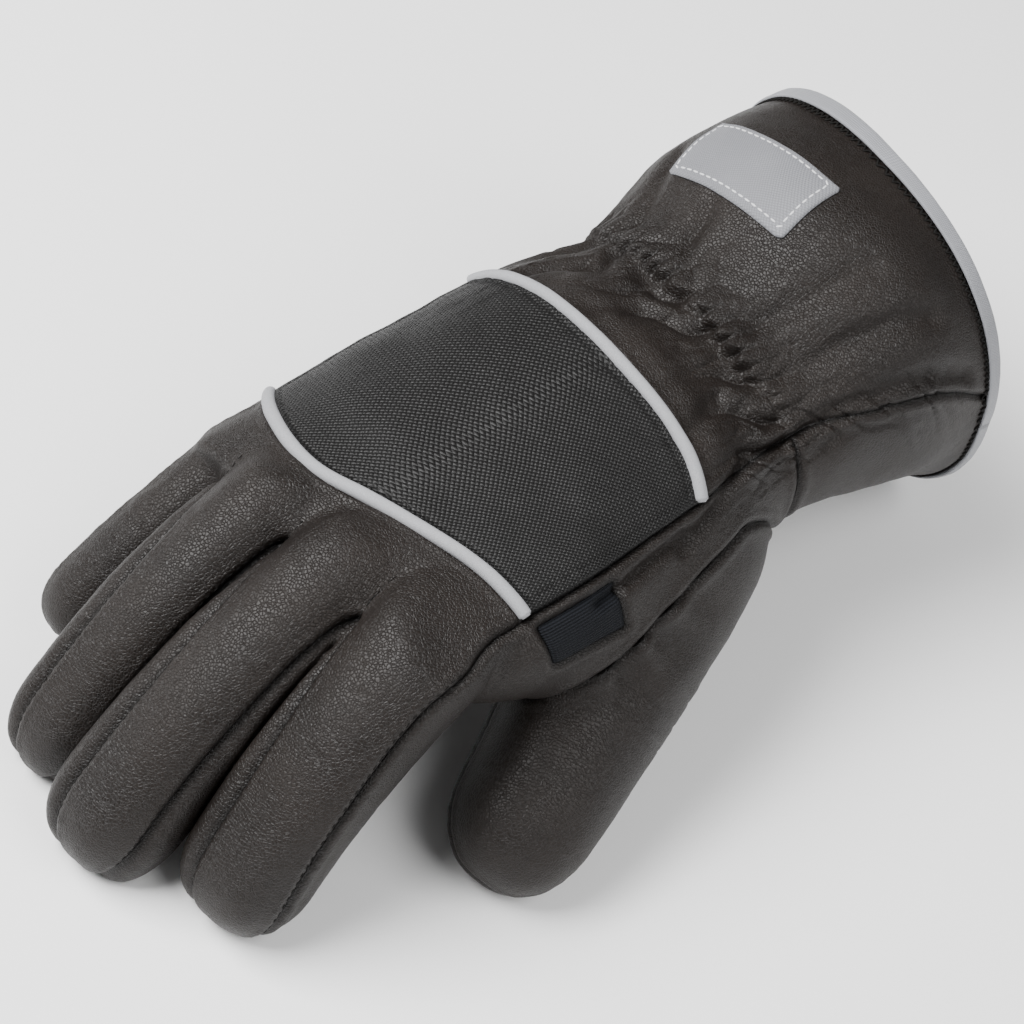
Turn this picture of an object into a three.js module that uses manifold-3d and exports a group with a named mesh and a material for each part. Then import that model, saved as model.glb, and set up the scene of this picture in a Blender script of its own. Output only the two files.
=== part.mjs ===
// Firefighter's glove for the right hand, size 10, lying on its palm side.
// Millimetres. +Z is up, +Y runs from the fingers to the cuff and +X is the thumb side.
// The hand is a lofted body, four fingers and a thumb. Each leather panel is a stretch of their
// common wall, cut out along its seams, and the trim is laid on the same surface.
import * as THREE from "three";
import { mergeVertices } from "three/addons/utils/BufferGeometryUtils.js";
import Module from "manifold-3d";

const wasm = await Module();
wasm.setup();

// Lengths along the glove
const CUFF_LENGTH = 79;
const HAND_LENGTH = 127;
const LITTLE_LENGTH = 73;
const RING_LENGTH = 97;
const MIDDLE_LENGTH = 101;
const INDEX_LENGTH = 91;
const THUMB_LENGTH = 108;

// Widths and heights of the sections
const RIM_WIDTH = 114;
const RIM_HEIGHT = 111;
const WRIST_WIDTH = 98;
const WRIST_HEIGHT = 55;
const PALM_WIDTH = 113;
const PALM_HEIGHT = 62;
const FINGER_DEPTH = 34;
const THUMB_WIDTH = 43;
const THUMB_DEPTH = 40;

// Leather, trim and the clearance between pieces
const WALL = 2.6;
const GAP = 0.3;
const GUARD_STEP = 0.7;
const PIPING_DIAMETER = 3.8;
const BINDING_WIDTH = 6;
const BINDING_THICKNESS = 1;
const LABEL_LENGTH = 46;
const LABEL_WIDTH = 24;
const LABEL_THICKNESS = 0.9;
const SETTLE = 1.2;

// Elastic gathers across the back of the wrist
const GATHER_WIDTH = 20;
const GATHER_DEPTH = 1.1;
const GATHER_PITCH = 15;
const GATHER_SINK = 0.35;
const GATHER_RISE = [22, 40];
const GATHER_FALL = [148, 166];

const LEATHER = { color: 0x2b2522, roughness: 0.6, metalness: 0 };
const TEXTILE = { color: 0x1c1d1f, roughness: 0.75, metalness: 0 };
const KNIT = { color: 0x121213, roughness: 0.95, metalness: 0 };
const REFLECTIVE = { color: 0xb9bcc2, roughness: 0.45, metalness: 0.1 };

function table(columns, rows) {
  return rows.map((row) => Object.fromEntries(columns.map((name, i) => [name, row[i]])));
}

// Body sections from the rim to the finger crotches. "at" is 1 at the rim, 0 at the gathered wrist
// and -1 at the crotches. half and shift are shares of the width, above and below of the height,
// lift of the rim's height. lean and slant tip the section, roll turns it, in degrees.
const SECTIONS = table(
  ["at", "width", "height", "half", "above", "below", "shift", "lift", "lean", "slant", "roll"],
  [
    [1, RIM_WIDTH, RIM_HEIGHT, 0.5, 0.473, 0.547, -0.057, 0.533, -0.18, -0.07, -2],
    [0.52, RIM_WIDTH, RIM_HEIGHT, 0.492, 0.435, 0.36, -0.025, 0.577, -0.12, 0.07, 2],
    [0, WRIST_WIDTH, WRIST_HEIGHT, 0.5, 0.5, 0.495, 0, 0.568, -0.06, -0.01, 0],
    [-0.256, PALM_WIDTH, PALM_HEIGHT, 0.48, 0.485, 0.518, 0.01, 0.538, 0, -0.04, 1],
    [-0.822, PALM_WIDTH, PALM_HEIGHT, 0.5, 0.327, 0.419, 0.046, 0.509, -0.1, 0.16, 6],
    [-1, PALM_WIDTH, PALM_HEIGHT, 0.407, 0.19, 0.196, -0.006, 0.501, 0, 0.01, 0],
  ],
);

// Fingers, from the little to the index. x and the half widths are shares of the palm's width, at a
// share of the hand's length, lift of the rim's height, the depths of a finger's depth. clear is the
// tip's height off the ground.
const FINGERS = table(
  ["length", "x", "at", "lift", "root", "tip", "rootDepth", "tipDepth", "yaw", "curl", "clear"],
  [
    [LITTLE_LENGTH, -0.347, -0.852, 0.455, 0.097, 0.09, 0.447, 0.31, -4, 27, 0.15],
    [RING_LENGTH, -0.154, -0.931, 0.553, 0.117, 0.107, 0.45, 0.35, 3.8, 39, 0],
    [MIDDLE_LENGTH, 0.098, -0.94, 0.572, 0.129, 0.13, 0.47, 0.42, 4.7, 40, 0],
    [INDEX_LENGTH, 0.364, -0.905, 0.6, 0.147, 0.136, 0.46, 0.425, 8.5, 41, 0],
  ],
);

// The thumb, with its half width and half depth at the root, the middle and the tip.
const THUMB = {
  x: 0.287,
  at: -0.225,
  lift: 0.459,
  widths: [0.69, 0.505, 0.407],
  depths: [0.655, 0.497, 0.398],
  yaw: 36,
  yawTurn: -16,
  curl: 5,
  roll: 33,
};

// Long soft folds in the body's leather: from one place to another, with half width and depth in
// shares of the wrist's height. A negative depth is a valley.
const FOLDS = table(
  ["at", "angle", "toAt", "toAngle", "spread", "depth"],
  [
    [0.14, 132, 0.46, 140, 0.07, -0.03],
    [0.14, 106, 0.3, 110, 0.06, -0.024],
    [0.12, 76, 0.5, 66, 0.08, -0.03],
    [0.1, 58, 0.62, 44, 0.08, -0.036],
    [0.08, 36, 0.75, 20, 0.07, -0.036],
    [-0.1, 128, -0.22, 134, 0.06, -0.03],
    [-0.1, 100, -0.2, 104, 0.06, -0.026],
    [-0.1, 66, -0.22, 60, 0.07, -0.03],
    [-0.1, 40, -0.34, 22, 0.07, -0.04],
    [-0.34, 28, -0.62, 24, 0.06, -0.04],
    [-0.17, 118, -0.17, 52, 0.1, 0.02],
  ],
);

// Seam lines on the body: the place along the glove at each angle round it.
const FRONT_LINE = table(
  ["angle", "at"],
  [[30, -0.8], [60, -0.8], [85, -0.83], [105, -0.86], [130, -0.81], [165, -0.71]],
);
const REAR_LINE = table(
  ["angle", "at"],
  [[30, -0.28], [55, -0.25], [95, -0.255], [130, -0.27], [165, -0.3]],
);

// The seam down the thumb side of the wrist and cuff: its angle at each place along the glove.
const SIDE_SEAM = table(["at", "angle"], [[1, 8], [0.35, 22], [0.05, 35], [-0.3, 36]]);

// The seam from the guard's outer edge to the little finger's outer side, the same way.
const OUTER_SEAM = table(["at", "angle"], [[-0.7, 158], [-0.82, 165], [-1, 185]]);

// Seams along the digits, in degrees round them, and the shares of a digit's length at which the
// gussets, the little finger's back and the thumb's back start.
const SEAM_PLACES = [0, 0.15, 0.5, 1];
const THUMB_SIDE_SEAM = [6, 28, 26, 18];
const LITTLE_SIDE_SEAM = [174, 152, 128, 122];
const INDEX_OUTER_SEAM = [20, 33, 26, 12];
const LITTLE_OUTER_SEAM = 148;
const PALM_SEAMS = [-48, 228];
const THUMB_SEAMS = [4, 196];
const GUSSET_START = -0.02;
const LITTLE_BACK_START = -0.08;
const THUMB_BACK_START = -0.18;

// The guard, the label and the knit patch on the body: angles round it and places along it.
const GUARD_ANGLES = [36, 158];
const LABEL_ANGLE = 107;
const LABEL_AT = 0.495;
const PALM_SPLIT_AT = 0.02;
const PATCH_ENDS = [-0.57, -0.79];
const PATCH_ANGLES = [3, 30];

// How round the sections are: 2 is an ellipse.
const BODY_SQUARENESS = 2.35;
const DIGIT_SQUARENESS = 2.35;
const TIP_START = 0.8;
const ROOT_TAPER = 1.2;
const ROOT_CURL = 240;
const ROOT_TRIM = 0.5;

// How far cutting solids reach past the leather, on the digits and on the body. The strip before
// the guard cuts deep, through the wall that closes the hand between the fingers' roots.
const REACH = 1;
const OVERREACH = 4;
const STRIP_DEPTH = 15;

// How far the thumb's seam stands off it and how far a bead's middle stands off the leather.
const SEAM_FLANGE = 0.5;
const PIPING_STAND = 0.4;

const rad = THREE.MathUtils.degToRad;
const lerp = THREE.MathUtils.lerp;
const spread = (from, to, steps) => Array.from({ length: steps + 1 }, (_, i) => lerp(from, to, i / steps));
const place = (at) => at * (at > 0 ? CUFF_LENGTH : HAND_LENGTH);
const RIM_Y = place(1);
const CROTCH_Y = place(-1);

// Where the surfaces are sampled: finely over the gathers and the tips, coarsely elsewhere.
const FINE_TURN = [0, ...spread(15, 165, 30), ...spread(180, 345, 11)];
const COARSE_TURN = spread(0, 345, 23);
const DIGIT_TURN = spread(0, 330, 11);
const HOLLOW_TURN = spread(0, 324, 9);
const HEM_Y = RIM_Y - BINDING_WIDTH;
const CUFF_ROWS = [RIM_Y, HEM_Y, ...[0.72, 0.5, 0.34, 0.22, 0.14, 0.06].map(place)];
const HAND_ROWS = [0, -0.045, -0.09, -0.165, -0.26, -0.4, -0.58, -0.74, -0.87, -1].map(place);
const OUTER_ROWS = [...CUFF_ROWS, ...HAND_ROWS];
const FINE_STRETCH = [0.6, -0.3].map(place);
const HOLLOW_PLACES = [0.5, 0.25, 0.04, -0.26, -0.55, -0.8, -0.92];
const HOLLOW_ROWS = [RIM_Y, HEM_Y, ...HOLLOW_PLACES.map(place), CROTCH_Y + WALL];
const FINGER_START = -0.25;
const THUMB_START = -0.15;
const HOLLOW_LEAD = 0.05;
const tipPlaces = (shares) => shares.map((share) => lerp(TIP_START, 1, share));
const ROOT_STATION = -0.1;
const BENDS = spread(0, TIP_START, 3);
const DIGIT_STATIONS = [FINGER_START, ROOT_STATION, ...BENDS, ...tipPlaces([0.5, 0.8, 0.97])];
const HOLLOW_STATIONS = [ROOT_STATION, ...BENDS, ...tipPlaces([0.5, 0.9])];
const WEB_STATIONS = [GUSSET_START, 0.08, 0.18, 0.3];
const WEDGE_STEP = 16;
const STRETCH_STEP = 12;
const PATH_STEPS = 24;
const PITCH_RANGE = [-20, 80];
const PITCH_TRIES = 26;
const BEAD_STEPS = 16;
const BEAD_SIDES = 6;

// A smooth value between the rows of a table, along one of its columns.
function between(knots, values, x) {
  const last = knots.length - 1;
  const order = knots[0] < knots[last] ? 1 : -1;
  let i = 0;
  while (i < last - 1 && (x - knots[i + 1]) * order > 0) i += 1;
  const slope = (k) => {
    const low = Math.max(k - 1, 0);
    const high = Math.min(k + 1, last);
    return (values[high] - values[low]) / (knots[high] - knots[low]);
  };
  const step = knots[i + 1] - knots[i];
  const s = THREE.MathUtils.clamp((x - knots[i]) / step, 0, 1);
  const rise = s * s * (3 - 2 * s);
  const leave = s * (1 - s) * (1 - s) * step * slope(i);
  const arrive = s * s * (s - 1) * step * slope(i + 1);
  return lerp(values[i], values[i + 1], rise) + leave + arrive;
}

const column = (rows, name) => rows.map((row) => row[name]);
const lineAt = (line, angle) => place(between(column(line, "angle"), column(line, "at"), angle));
const sideSeam = (y) => between(column(SIDE_SEAM, "at").map(place), column(SIDE_SEAM, "angle"), y);
const outerSeam = (y) => between(column(OUTER_SEAM, "at").map(place), column(OUTER_SEAM, "angle"), y);
const thumbSeam = (t) => between(SEAM_PLACES, THUMB_SIDE_SEAM, t);
const littleSeam = (t) => between(SEAM_PLACES, LITTLE_SIDE_SEAM, t);
const indexSeam = (t) => between(SEAM_PLACES, INDEX_OUTER_SEAM, t);

// A point on a rounded-square section, with its two half sizes and its angle in degrees.
function roundSquare(halfWidth, halfHeight, angle, squareness) {
  const c = Math.cos(rad(angle));
  const s = Math.sin(rad(angle));
  const power = 2 / squareness;
  return [halfWidth * Math.sign(c) * Math.abs(c) ** power, halfHeight * Math.sign(s) * Math.abs(s) ** power];
}

const SECTION_Y = SECTIONS.map((row) => place(row.at));

function bodySection(y) {
  const read = (value) => between(SECTION_Y, SECTIONS.map(value), y);
  return {
    half: read((row) => row.half * row.width),
    above: read((row) => row.above * row.height),
    below: read((row) => row.below * row.height),
    x: read((row) => row.shift * row.width),
    z: read((row) => row.lift * RIM_HEIGHT),
    lean: read((row) => row.lean),
    slant: read((row) => row.slant),
    roll: rad(read((row) => row.roll)),
  };
}

// How far the leather stands off the smooth body at a place: the folds.
function foldHeight(y, turned) {
  const angle = THREE.MathUtils.euclideanModulo(turned + 90, 360) - 90;
  const arc = (rad(1) * PALM_WIDTH) / 2;
  let height = 0;
  for (const fold of FOLDS) {
    const from = [place(fold.at), fold.angle * arc];
    const run = [place(fold.toAt) - from[0], fold.toAngle * arc - from[1]];
    const off = [y - from[0], angle * arc - from[1]];
    const share = (off[0] * run[0] + off[1] * run[1]) / (run[0] ** 2 + run[1] ** 2);
    const t = THREE.MathUtils.clamp(share, 0, 1);
    const distance = Math.hypot(off[0] - t * run[0], off[1] - t * run[1]);
    height += fold.depth * WRIST_HEIGHT * Math.exp(-((distance / (fold.spread * WRIST_HEIGHT)) ** 2));
  }
  return height;
}

// The ruffles that the elastic pulls up, strongest on the wrist line and gone at its sides.
function ruffleHeight(y, turned) {
  const angle = THREE.MathUtils.euclideanModulo(turned + 90, 360) - 90;
  const rise = THREE.MathUtils.smoothstep(angle, ...GATHER_RISE);
  const across = rise * (1 - THREE.MathUtils.smoothstep(angle, ...GATHER_FALL));
  const along = Math.exp(-((y / (GATHER_WIDTH / 2)) ** 4));
  const wave = Math.cos((angle / GATHER_PITCH) * 2 * Math.PI);
  return GATHER_DEPTH * across * along * (wave - GATHER_SINK);
}

function bodyPoint(y, angle, offset) {
  const s = bodySection(y);
  const lift = offset + foldHeight(y, angle) + (offset > -WALL ? ruffleHeight(y, angle) : 0);
  const height = Math.sin(rad(angle)) >= 0 ? s.above : s.below;
  const [x, z] = roundSquare(s.half + lift, height + lift, angle, BODY_SQUARENESS);
  const side = x * Math.cos(s.roll) - z * Math.sin(s.roll);
  const up = z * Math.cos(s.roll) + x * Math.sin(s.roll);
  const floor = BINDING_THICKNESS + GAP - offset;
  return [s.x + side, y + s.lean * up + s.slant * side, Math.max(s.z + up, floor)];
}

// A digit's root, before t = 0, shrinks and dives into the hand.
const sunk = (t) => 1 + ROOT_TAPER * Math.min(t, 0);
const threeWay = (values, t) => between([0, 0.5, 1], values, t);

// Fingers and thumb share one description: a path that curls and a section that tapers along it.
function fingerShape(row) {
  return {
    length: row.length,
    base: [row.x * PALM_WIDTH, place(row.at), row.lift * RIM_HEIGHT],
    start: FINGER_START,
    width: (t) => sunk(t) * lerp(row.root, row.tip, Math.max(t, 0)) * PALM_WIDTH,
    depth: (t) => sunk(t) * lerp(row.rootDepth, row.tipDepth, Math.max(t, 0)) * FINGER_DEPTH,
    yaw: () => row.yaw,
    curl: row.curl,
    roll: 0,
    lowest: row.clear > 0 ? row.clear * FINGER_DEPTH : -SETTLE,
  };
}

function thumbShape() {
  return {
    length: THUMB_LENGTH,
    base: [THUMB.x * PALM_WIDTH, place(THUMB.at), THUMB.lift * RIM_HEIGHT],
    start: THUMB_START,
    width: (t) => sunk(t) * threeWay(THUMB.widths, t) * THUMB_WIDTH,
    depth: (t) => sunk(t) * threeWay(THUMB.depths, t) * THUMB_DEPTH,
    yaw: (t) => THUMB.yaw + THUMB.yawTurn * t,
    curl: THUMB.curl,
    roll: THUMB.roll,
    lowest: -SETTLE,
  };
}

function digitDirection(digit, t) {
  const yaw = rad(digit.yaw(Math.max(t, 0)));
  const pitch = rad(digit.pitch + (t > 0 ? digit.curl : ROOT_CURL) * t);
  const ahead = Math.cos(pitch);
  return new THREE.Vector3(Math.sin(yaw) * ahead, -Math.cos(yaw) * ahead, -Math.sin(pitch));
}

function digitFrame(digit, t) {
  const centre = new THREE.Vector3(...digit.base);
  for (let i = 0; i < PATH_STEPS; i += 1) {
    const step = digitDirection(digit, ((i + 0.5) / PATH_STEPS) * t);
    centre.addScaledVector(step, (digit.length * t) / PATH_STEPS);
  }
  const forward = digitDirection(digit, t);
  const yaw = rad(digit.yaw(Math.max(t, 0)));
  const side = new THREE.Vector3(Math.cos(yaw), Math.sin(yaw), 0);
  const up = forward.clone().cross(side);
  const turn = rad(digit.roll);
  const across = side.clone().multiplyScalar(Math.cos(turn)).addScaledVector(up, -Math.sin(turn));
  const over = up.multiplyScalar(Math.cos(turn)).addScaledVector(side, Math.sin(turn));
  return { centre, across, over };
}

// The share of its full size that a digit's section keeps near the rounded tip.
function tipShare(t) {
  const s = THREE.MathUtils.clamp((t - TIP_START) / (1 - TIP_START), 0, 1);
  return (1 - s ** DIGIT_SQUARENESS) ** (1 / DIGIT_SQUARENESS);
}

function digitPoint(digit, t, angle, offset) {
  const reach = 1 + offset / digit.length;
  const frame = digitFrame(digit, t > 0 ? t * reach : t);
  const share = tipShare(t);
  const halfWidth = (digit.width(t) + offset) * share;
  const halfDepth = (digit.depth(t) + offset) * share;
  const [x, z] = roundSquare(halfWidth, halfDepth, angle, DIGIT_SQUARENESS);
  const point = frame.centre.addScaledVector(frame.across, x).addScaledVector(frame.over, z);
  return [point.x, point.y, Math.max(point.z, digit.pressed ? -offset : -Infinity)];
}

// Turns a digit down until its lowest point reaches its resting height, and then presses it flat.
function laidDown(digit) {
  let [low, high] = PITCH_RANGE;
  const under = spread(180, 360, 8);
  for (let i = 0; i < PITCH_TRIES; i += 1) {
    digit.pitch = (low + high) / 2;
    const heights = DIGIT_STATIONS.flatMap((t) => under.map((angle) => digitPoint(digit, t, angle, 0)[2]));
    if (Math.min(...heights) > digit.lowest) low = digit.pitch;
    else high = digit.pitch;
  }
  digit.pressed = true;
  return digit;
}

// A closed solid from points and triples of their numbers.
function solid(points, triangles) {
  const geometry = new THREE.BufferGeometry();
  geometry.setAttribute("position", new THREE.Float32BufferAttribute(points.flat(), 3));
  geometry.setIndex(triangles.flat());
  const merged = mergeVertices(geometry, 1e-4);
  const triVerts = new Uint32Array(merged.index.array);
  const vertProperties = merged.attributes.position.array;
  return new wasm.Manifold(new wasm.Mesh({ numProp: 3, vertProperties, triVerts }));
}

// The side faces of a solid through rings that turn anticlockwise about the way they advance. Each
// ring has its own list of angles, and the ring that is behind in its turn takes the next step.
function ringSides(turns) {
  const triangles = [];
  let start = 0;
  for (let i = 0; i + 1 < turns.length; i += 1) {
    const [low, high] = [turns[i], turns[i + 1]];
    const ahead = (turn, k) => (k < turn.length ? (turn[k + 1] ?? turn[0] + 360) : Infinity);
    const next = start + low.length;
    let [a, b] = [0, 0];
    while (a < low.length || b < high.length) {
      const [here, there] = [start + (a % low.length), next + (b % high.length)];
      if (ahead(low, a) <= ahead(high, b)) {
        a += 1;
        triangles.push([here, start + (a % low.length), there]);
      } else {
        b += 1;
        triangles.push([here, next + (b % high.length), there]);
      }
    }
    start = next;
  }
  return triangles;
}

const evenTurns = (rings) => rings.map((ring) => [...ring.keys()]);

// A solid through rings, each end capped from the middle of its ring.
function loft(rings, turns = evenTurns(rings)) {
  const middle = (ring) => [0, 1, 2].map((k) => ring.reduce((sum, p) => sum + p[k], 0) / ring.length);
  const points = [...rings.flat(), middle(rings[0]), middle(rings.at(-1))];
  const triangles = ringSides(turns);
  const [first, last] = [rings[0].length, rings.at(-1).length];
  const back = points.length - 2 - last;
  for (let j = 0; j < first; j += 1) triangles.push([points.length - 2, (j + 1) % first, j]);
  for (let j = 0; j < last; j += 1) triangles.push([points.length - 1, back + j, back + ((j + 1) % last)]);
  return solid(points, triangles);
}

// A solid through sections whose first point sees all the others, each end capped from there.
function fanLoft(sections) {
  const count = sections[0].length;
  const last = (sections.length - 1) * count;
  const triangles = ringSides(evenTurns(sections));
  for (let j = 1; j + 1 < count; j += 1) {
    triangles.push([0, j + 1, j], [last, last + j, last + j + 1]);
  }
  return solid(sections.flat(), triangles);
}

// A solid between two grids of points, the upper one outside the lower one.
function slab(upper, lower) {
  const rows = upper.length;
  const count = upper[0].length;
  const under = rows * count;
  const triangles = [];
  for (let i = 0; i + 1 < rows; i += 1) {
    for (let j = 0; j + 1 < count; j += 1) {
      const a = i * count + j;
      const c = a + count;
      triangles.push([a, a + 1, c], [a + 1, c + 1, c]);
      triangles.push([a + under, c + under, a + 1 + under], [a + 1 + under, c + under, c + 1 + under]);
    }
  }
  const wall = (a, b) => triangles.push([a, b, a + under], [b, b + under, a + under]);
  const front = under - count;
  for (let j = 0; j + 1 < count; j += 1) {
    wall(j + 1, j);
    wall(front + j, front + j + 1);
  }
  for (let a = 0; a < front; a += count) {
    wall(a, a + count);
    wall(a + 2 * count - 1, a + count - 1);
  }
  return solid([...upper.flat(), ...lower.flat()], triangles);
}

const bodyRing = (y, angles, offset) => angles.map((angle) => bodyPoint(y, angle, offset));
const pushedOut = (ring, distance) => ring.map(([x, y, z]) => [x, y + distance, z]);
const digitRing = (digit, t, angles, offset) => angles.map((angle) => digitPoint(digit, t, angle, offset));

const isFine = (y) => y < FINE_STRETCH[0] && y > FINE_STRETCH[1];
const outerTurns = OUTER_ROWS.map((y) => (isFine(y) ? FINE_TURN : COARSE_TURN));

function bodyOuter(offset) {
  const rings = OUTER_ROWS.map((y, i) => bodyRing(y, outerTurns[i], offset));
  return loft(rings, outerTurns);
}

// A digit's outer surface with an offset. Its root end can be drawn out backwards.
function digitOuter(digit, offset, back = 0) {
  const stations = [digit.start, ...DIGIT_STATIONS.filter((t) => t > digit.start)];
  const rings = stations.map((t) => digitRing(digit, t, DIGIT_TURN, offset));
  const behind = digitDirection(digit, digit.start).multiplyScalar(-back).toArray();
  const drawn = rings[0].map((point) => point.map((value, k) => value + behind[k]));
  return loft(back > 0 ? [drawn, ...rings] : rings);
}

// The hand's hollow, open at the rim.
function bodyHollow(offset = -WALL) {
  const rings = HOLLOW_ROWS.map((y) => bodyRing(y, COARSE_TURN, offset));
  return loft([pushedOut(rings[0], 2 * WALL), ...rings]);
}

function digitHollow(digit) {
  const start = digit.start - HOLLOW_LEAD;
  const stations = [start, ...HOLLOW_STATIONS.filter((t) => t > start)];
  return loft(stations.map((t) => digitRing(digit, t, HOLLOW_TURN, -WALL)));
}

// The neighbourhood of a digit between two angles, which may change along it.
function digitWedge(digit, fromAngle, toAngle, start, grow) {
  const stations = [start - grow / digit.length, ...DIGIT_STATIONS.filter((t) => t > start + 0.02)];
  const steps = Math.ceil((toAngle(0) - fromAngle(0)) / WEDGE_STEP);
  const sections = stations.map((t) => {
    const extra = THREE.MathUtils.radToDeg(grow / digit.width(t));
    const angles = spread(fromAngle(t) - extra, toAngle(t) + extra, steps);
    return [digitFrame(digit, t).centre.toArray(), ...digitRing(digit, t, angles, REACH + grow)];
  });
  return fanLoft(sections);
}

// The web between two fingers' roots, from axis to axis and from seam to seam.
function webBlock(left, right, grow) {
  const sections = WEB_STATIONS.map((t, i) => {
    const at = i === 0 ? t - grow / left.length : t;
    const extra = THREE.MathUtils.radToDeg(grow / left.width(t));
    const seam = (digit, angle) => digitPoint(digit, at, angle, REACH + grow);
    return [
      digitFrame(left, at).centre.toArray(),
      seam(left, PALM_SEAMS[0] - extra),
      seam(right, PALM_SEAMS[1] + extra),
      digitFrame(right, at).centre.toArray(),
      seam(right, littleSeam(t) - extra),
      seam(left, thumbSeam(t) + extra),
    ];
  });
  return fanLoft(sections);
}

// The stretch of the body's wall between two angles and two lines, right through its thickness.
function bodyStretch({ angles, rear, front, rows = 3, depth = 2 * WALL, grow = 0 }) {
  const widen = THREE.MathUtils.radToDeg(grow / (PALM_WIDTH / 2));
  const [first, second] = angles(rear(90));
  const columns = spread(0, 1, Math.ceil((second - first) / STRETCH_STEP));
  const grid = (offset) =>
    spread(0, 1, rows).map((s) =>
      columns.map((k) => {
        const [low, high] = angles(lerp(rear(90), front(90), s));
        const angle = lerp(low - widen, high + widen, k);
        const y = lerp(rear(angle) + grow, front(angle) - grow, s);
        return bodyPoint(y, angle, offset);
      }),
    );
  return slab(grid(OVERREACH), grid(-depth));
}

// A bead along a line round the back of the body, half sunk in its surface.
function bead(line, radius, ends) {
  const centre = (angle) => new THREE.Vector3(...bodyPoint(lineAt(line, angle), angle, PIPING_STAND));
  const rings = spread(GUARD_ANGLES[0] - ends, GUARD_ANGLES[1] + ends, BEAD_STEPS).map((angle) => {
    const middle = centre(angle);
    const tangent = centre(angle + 1).sub(centre(angle - 1)).normalize();
    const y = lineAt(line, angle);
    const normal = new THREE.Vector3(...bodyPoint(y, angle, 2 * REACH)).sub(middle);
    normal.addScaledVector(tangent, -normal.dot(tangent)).normalize();
    const across = tangent.clone().cross(normal);
    return spread(0, 2 * Math.PI, BEAD_SIDES).slice(0, -1).map((turn) => {
      const point = middle.clone().addScaledVector(normal, radius * Math.cos(turn));
      return point.addScaledVector(across, radius * Math.sin(turn)).toArray();
    });
  });
  return loft(rings);
}

// The label: a stretch of the outer surface, as long as asked, laid just over the leather.
function angleBeside(y, angle, distance) {
  const step = Math.sign(distance);
  let travelled = 0;
  let here = angle;
  while (travelled < Math.abs(distance)) {
    const [a, b] = [bodyPoint(y, here, 0), bodyPoint(y, here + step, 0)];
    travelled += Math.hypot(a[0] - b[0], a[1] - b[1], a[2] - b[2]);
    here += step;
  }
  return here;
}

function labelPatch() {
  const y = place(LABEL_AT);
  const ends = [-1, 1].map((side) => angleBeside(y, LABEL_ANGLE, (side * LABEL_LENGTH) / 2));
  const plate = bodyStretch({
    angles: () => ends,
    rear: () => y + LABEL_WIDTH / 2,
    front: () => y - LABEL_WIDTH / 2,
    rows: 1,
  });
  return bodyOuter(GAP + LABEL_THICKNESS).subtract(bodyOuter(GAP)).intersect(plate);
}

// Tape folded round the cuff's edge: an outer leg, an inner leg and the fold past the rim.
function rimBinding() {
  const sleeve = (offset, past, ends) => {
    const rings = [RIM_Y, HEM_Y, ...ends].map((y) => bodyRing(y, COARSE_TURN, offset));
    return loft([pushedOut(rings[0], past), ...rings]);
  };
  const thick = GAP + BINDING_THICKNESS;
  const mouth = sleeve(-WALL - thick, 2 * thick, [HEM_Y - REACH]);
  const hollow = sleeve(-WALL - GAP, 2 * REACH, [HEM_Y - 2 * REACH]);
  const slot = sleeve(GAP, GAP, [HEM_Y - REACH]).subtract(hollow);
  return sleeve(thick, thick, []).subtract(mouth).subtract(slot);
}

const together = (parts) => parts.reduce((sum, part) => sum.add(part));
const without = (whole, tools) => tools.reduce((rest, tool) => rest.subtract(tool), whole);

const fingers = FINGERS.map((row) => laidDown(fingerShape(row)));
const thumb = laidDown(thumbShape());
const [little, ring, middle, index] = fingers;

// Each region takes a clearance to grow by, so that a neighbour can be cut back from it.
const regions = {
  thumb: (grow) => digitOuter(thumb, SEAM_FLANGE + grow, grow),
  thumbBack: (grow) => digitWedge(thumb, () => THUMB_SEAMS[0], () => THUMB_SEAMS[1], THUMB_BACK_START, grow),
  gusset: (left, right, grow) =>
    together([
      digitWedge(left, () => PALM_SEAMS[0], thumbSeam, GUSSET_START, grow),
      digitWedge(right, littleSeam, () => PALM_SEAMS[1], GUSSET_START, grow),
      webBlock(left, right, grow),
    ]),
  fingerBack: (finger, grow) =>
    digitWedge(
      finger,
      finger === index ? indexSeam : () => 0,
      finger === little ? () => LITTLE_OUTER_SEAM : () => 180,
      finger === little ? LITTLE_BACK_START : FINGER_START,
      grow,
    ),
  strip: (grow) =>
    bodyStretch({
      angles: (y) => [GUARD_ANGLES[0], outerSeam(y)],
      rear: (angle) => lineAt(FRONT_LINE, angle),
      front: () => CROTCH_Y - REACH,
      depth: STRIP_DEPTH,
      grow,
    }),
  guard: (grow) =>
    bodyStretch({
      angles: () => GUARD_ANGLES,
      rear: (angle) => lineAt(REAR_LINE, angle),
      front: (angle) => lineAt(FRONT_LINE, angle),
      grow,
    }),
  cuffBack: (grow) =>
    bodyStretch({
      angles: (y) => [sideSeam(y), GUARD_ANGLES[1]],
      rear: () => RIM_Y + REACH,
      front: (angle) => lineAt(REAR_LINE, angle),
      grow,
    }),
  cuff: (grow) =>
    loft(
      [RIM_Y + REACH, ...CUFF_ROWS.slice(1), place(PALM_SPLIT_AT) - grow].map((y) =>
        bodyRing(y, COARSE_TURN, OVERREACH),
      ),
    ),
  patch: (grow) =>
    bodyStretch({
      angles: () => PATCH_ANGLES,
      rear: () => place(PATCH_ENDS[0]),
      front: () => place(PATCH_ENDS[1]),
      grow,
    }),
  frontBead: (grow) => bead(FRONT_LINE, PIPING_DIAMETER / 2 + grow, grow),
  rearBead: (grow) => bead(REAR_LINE, PIPING_DIAMETER / 2 + grow, grow),
};

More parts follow.
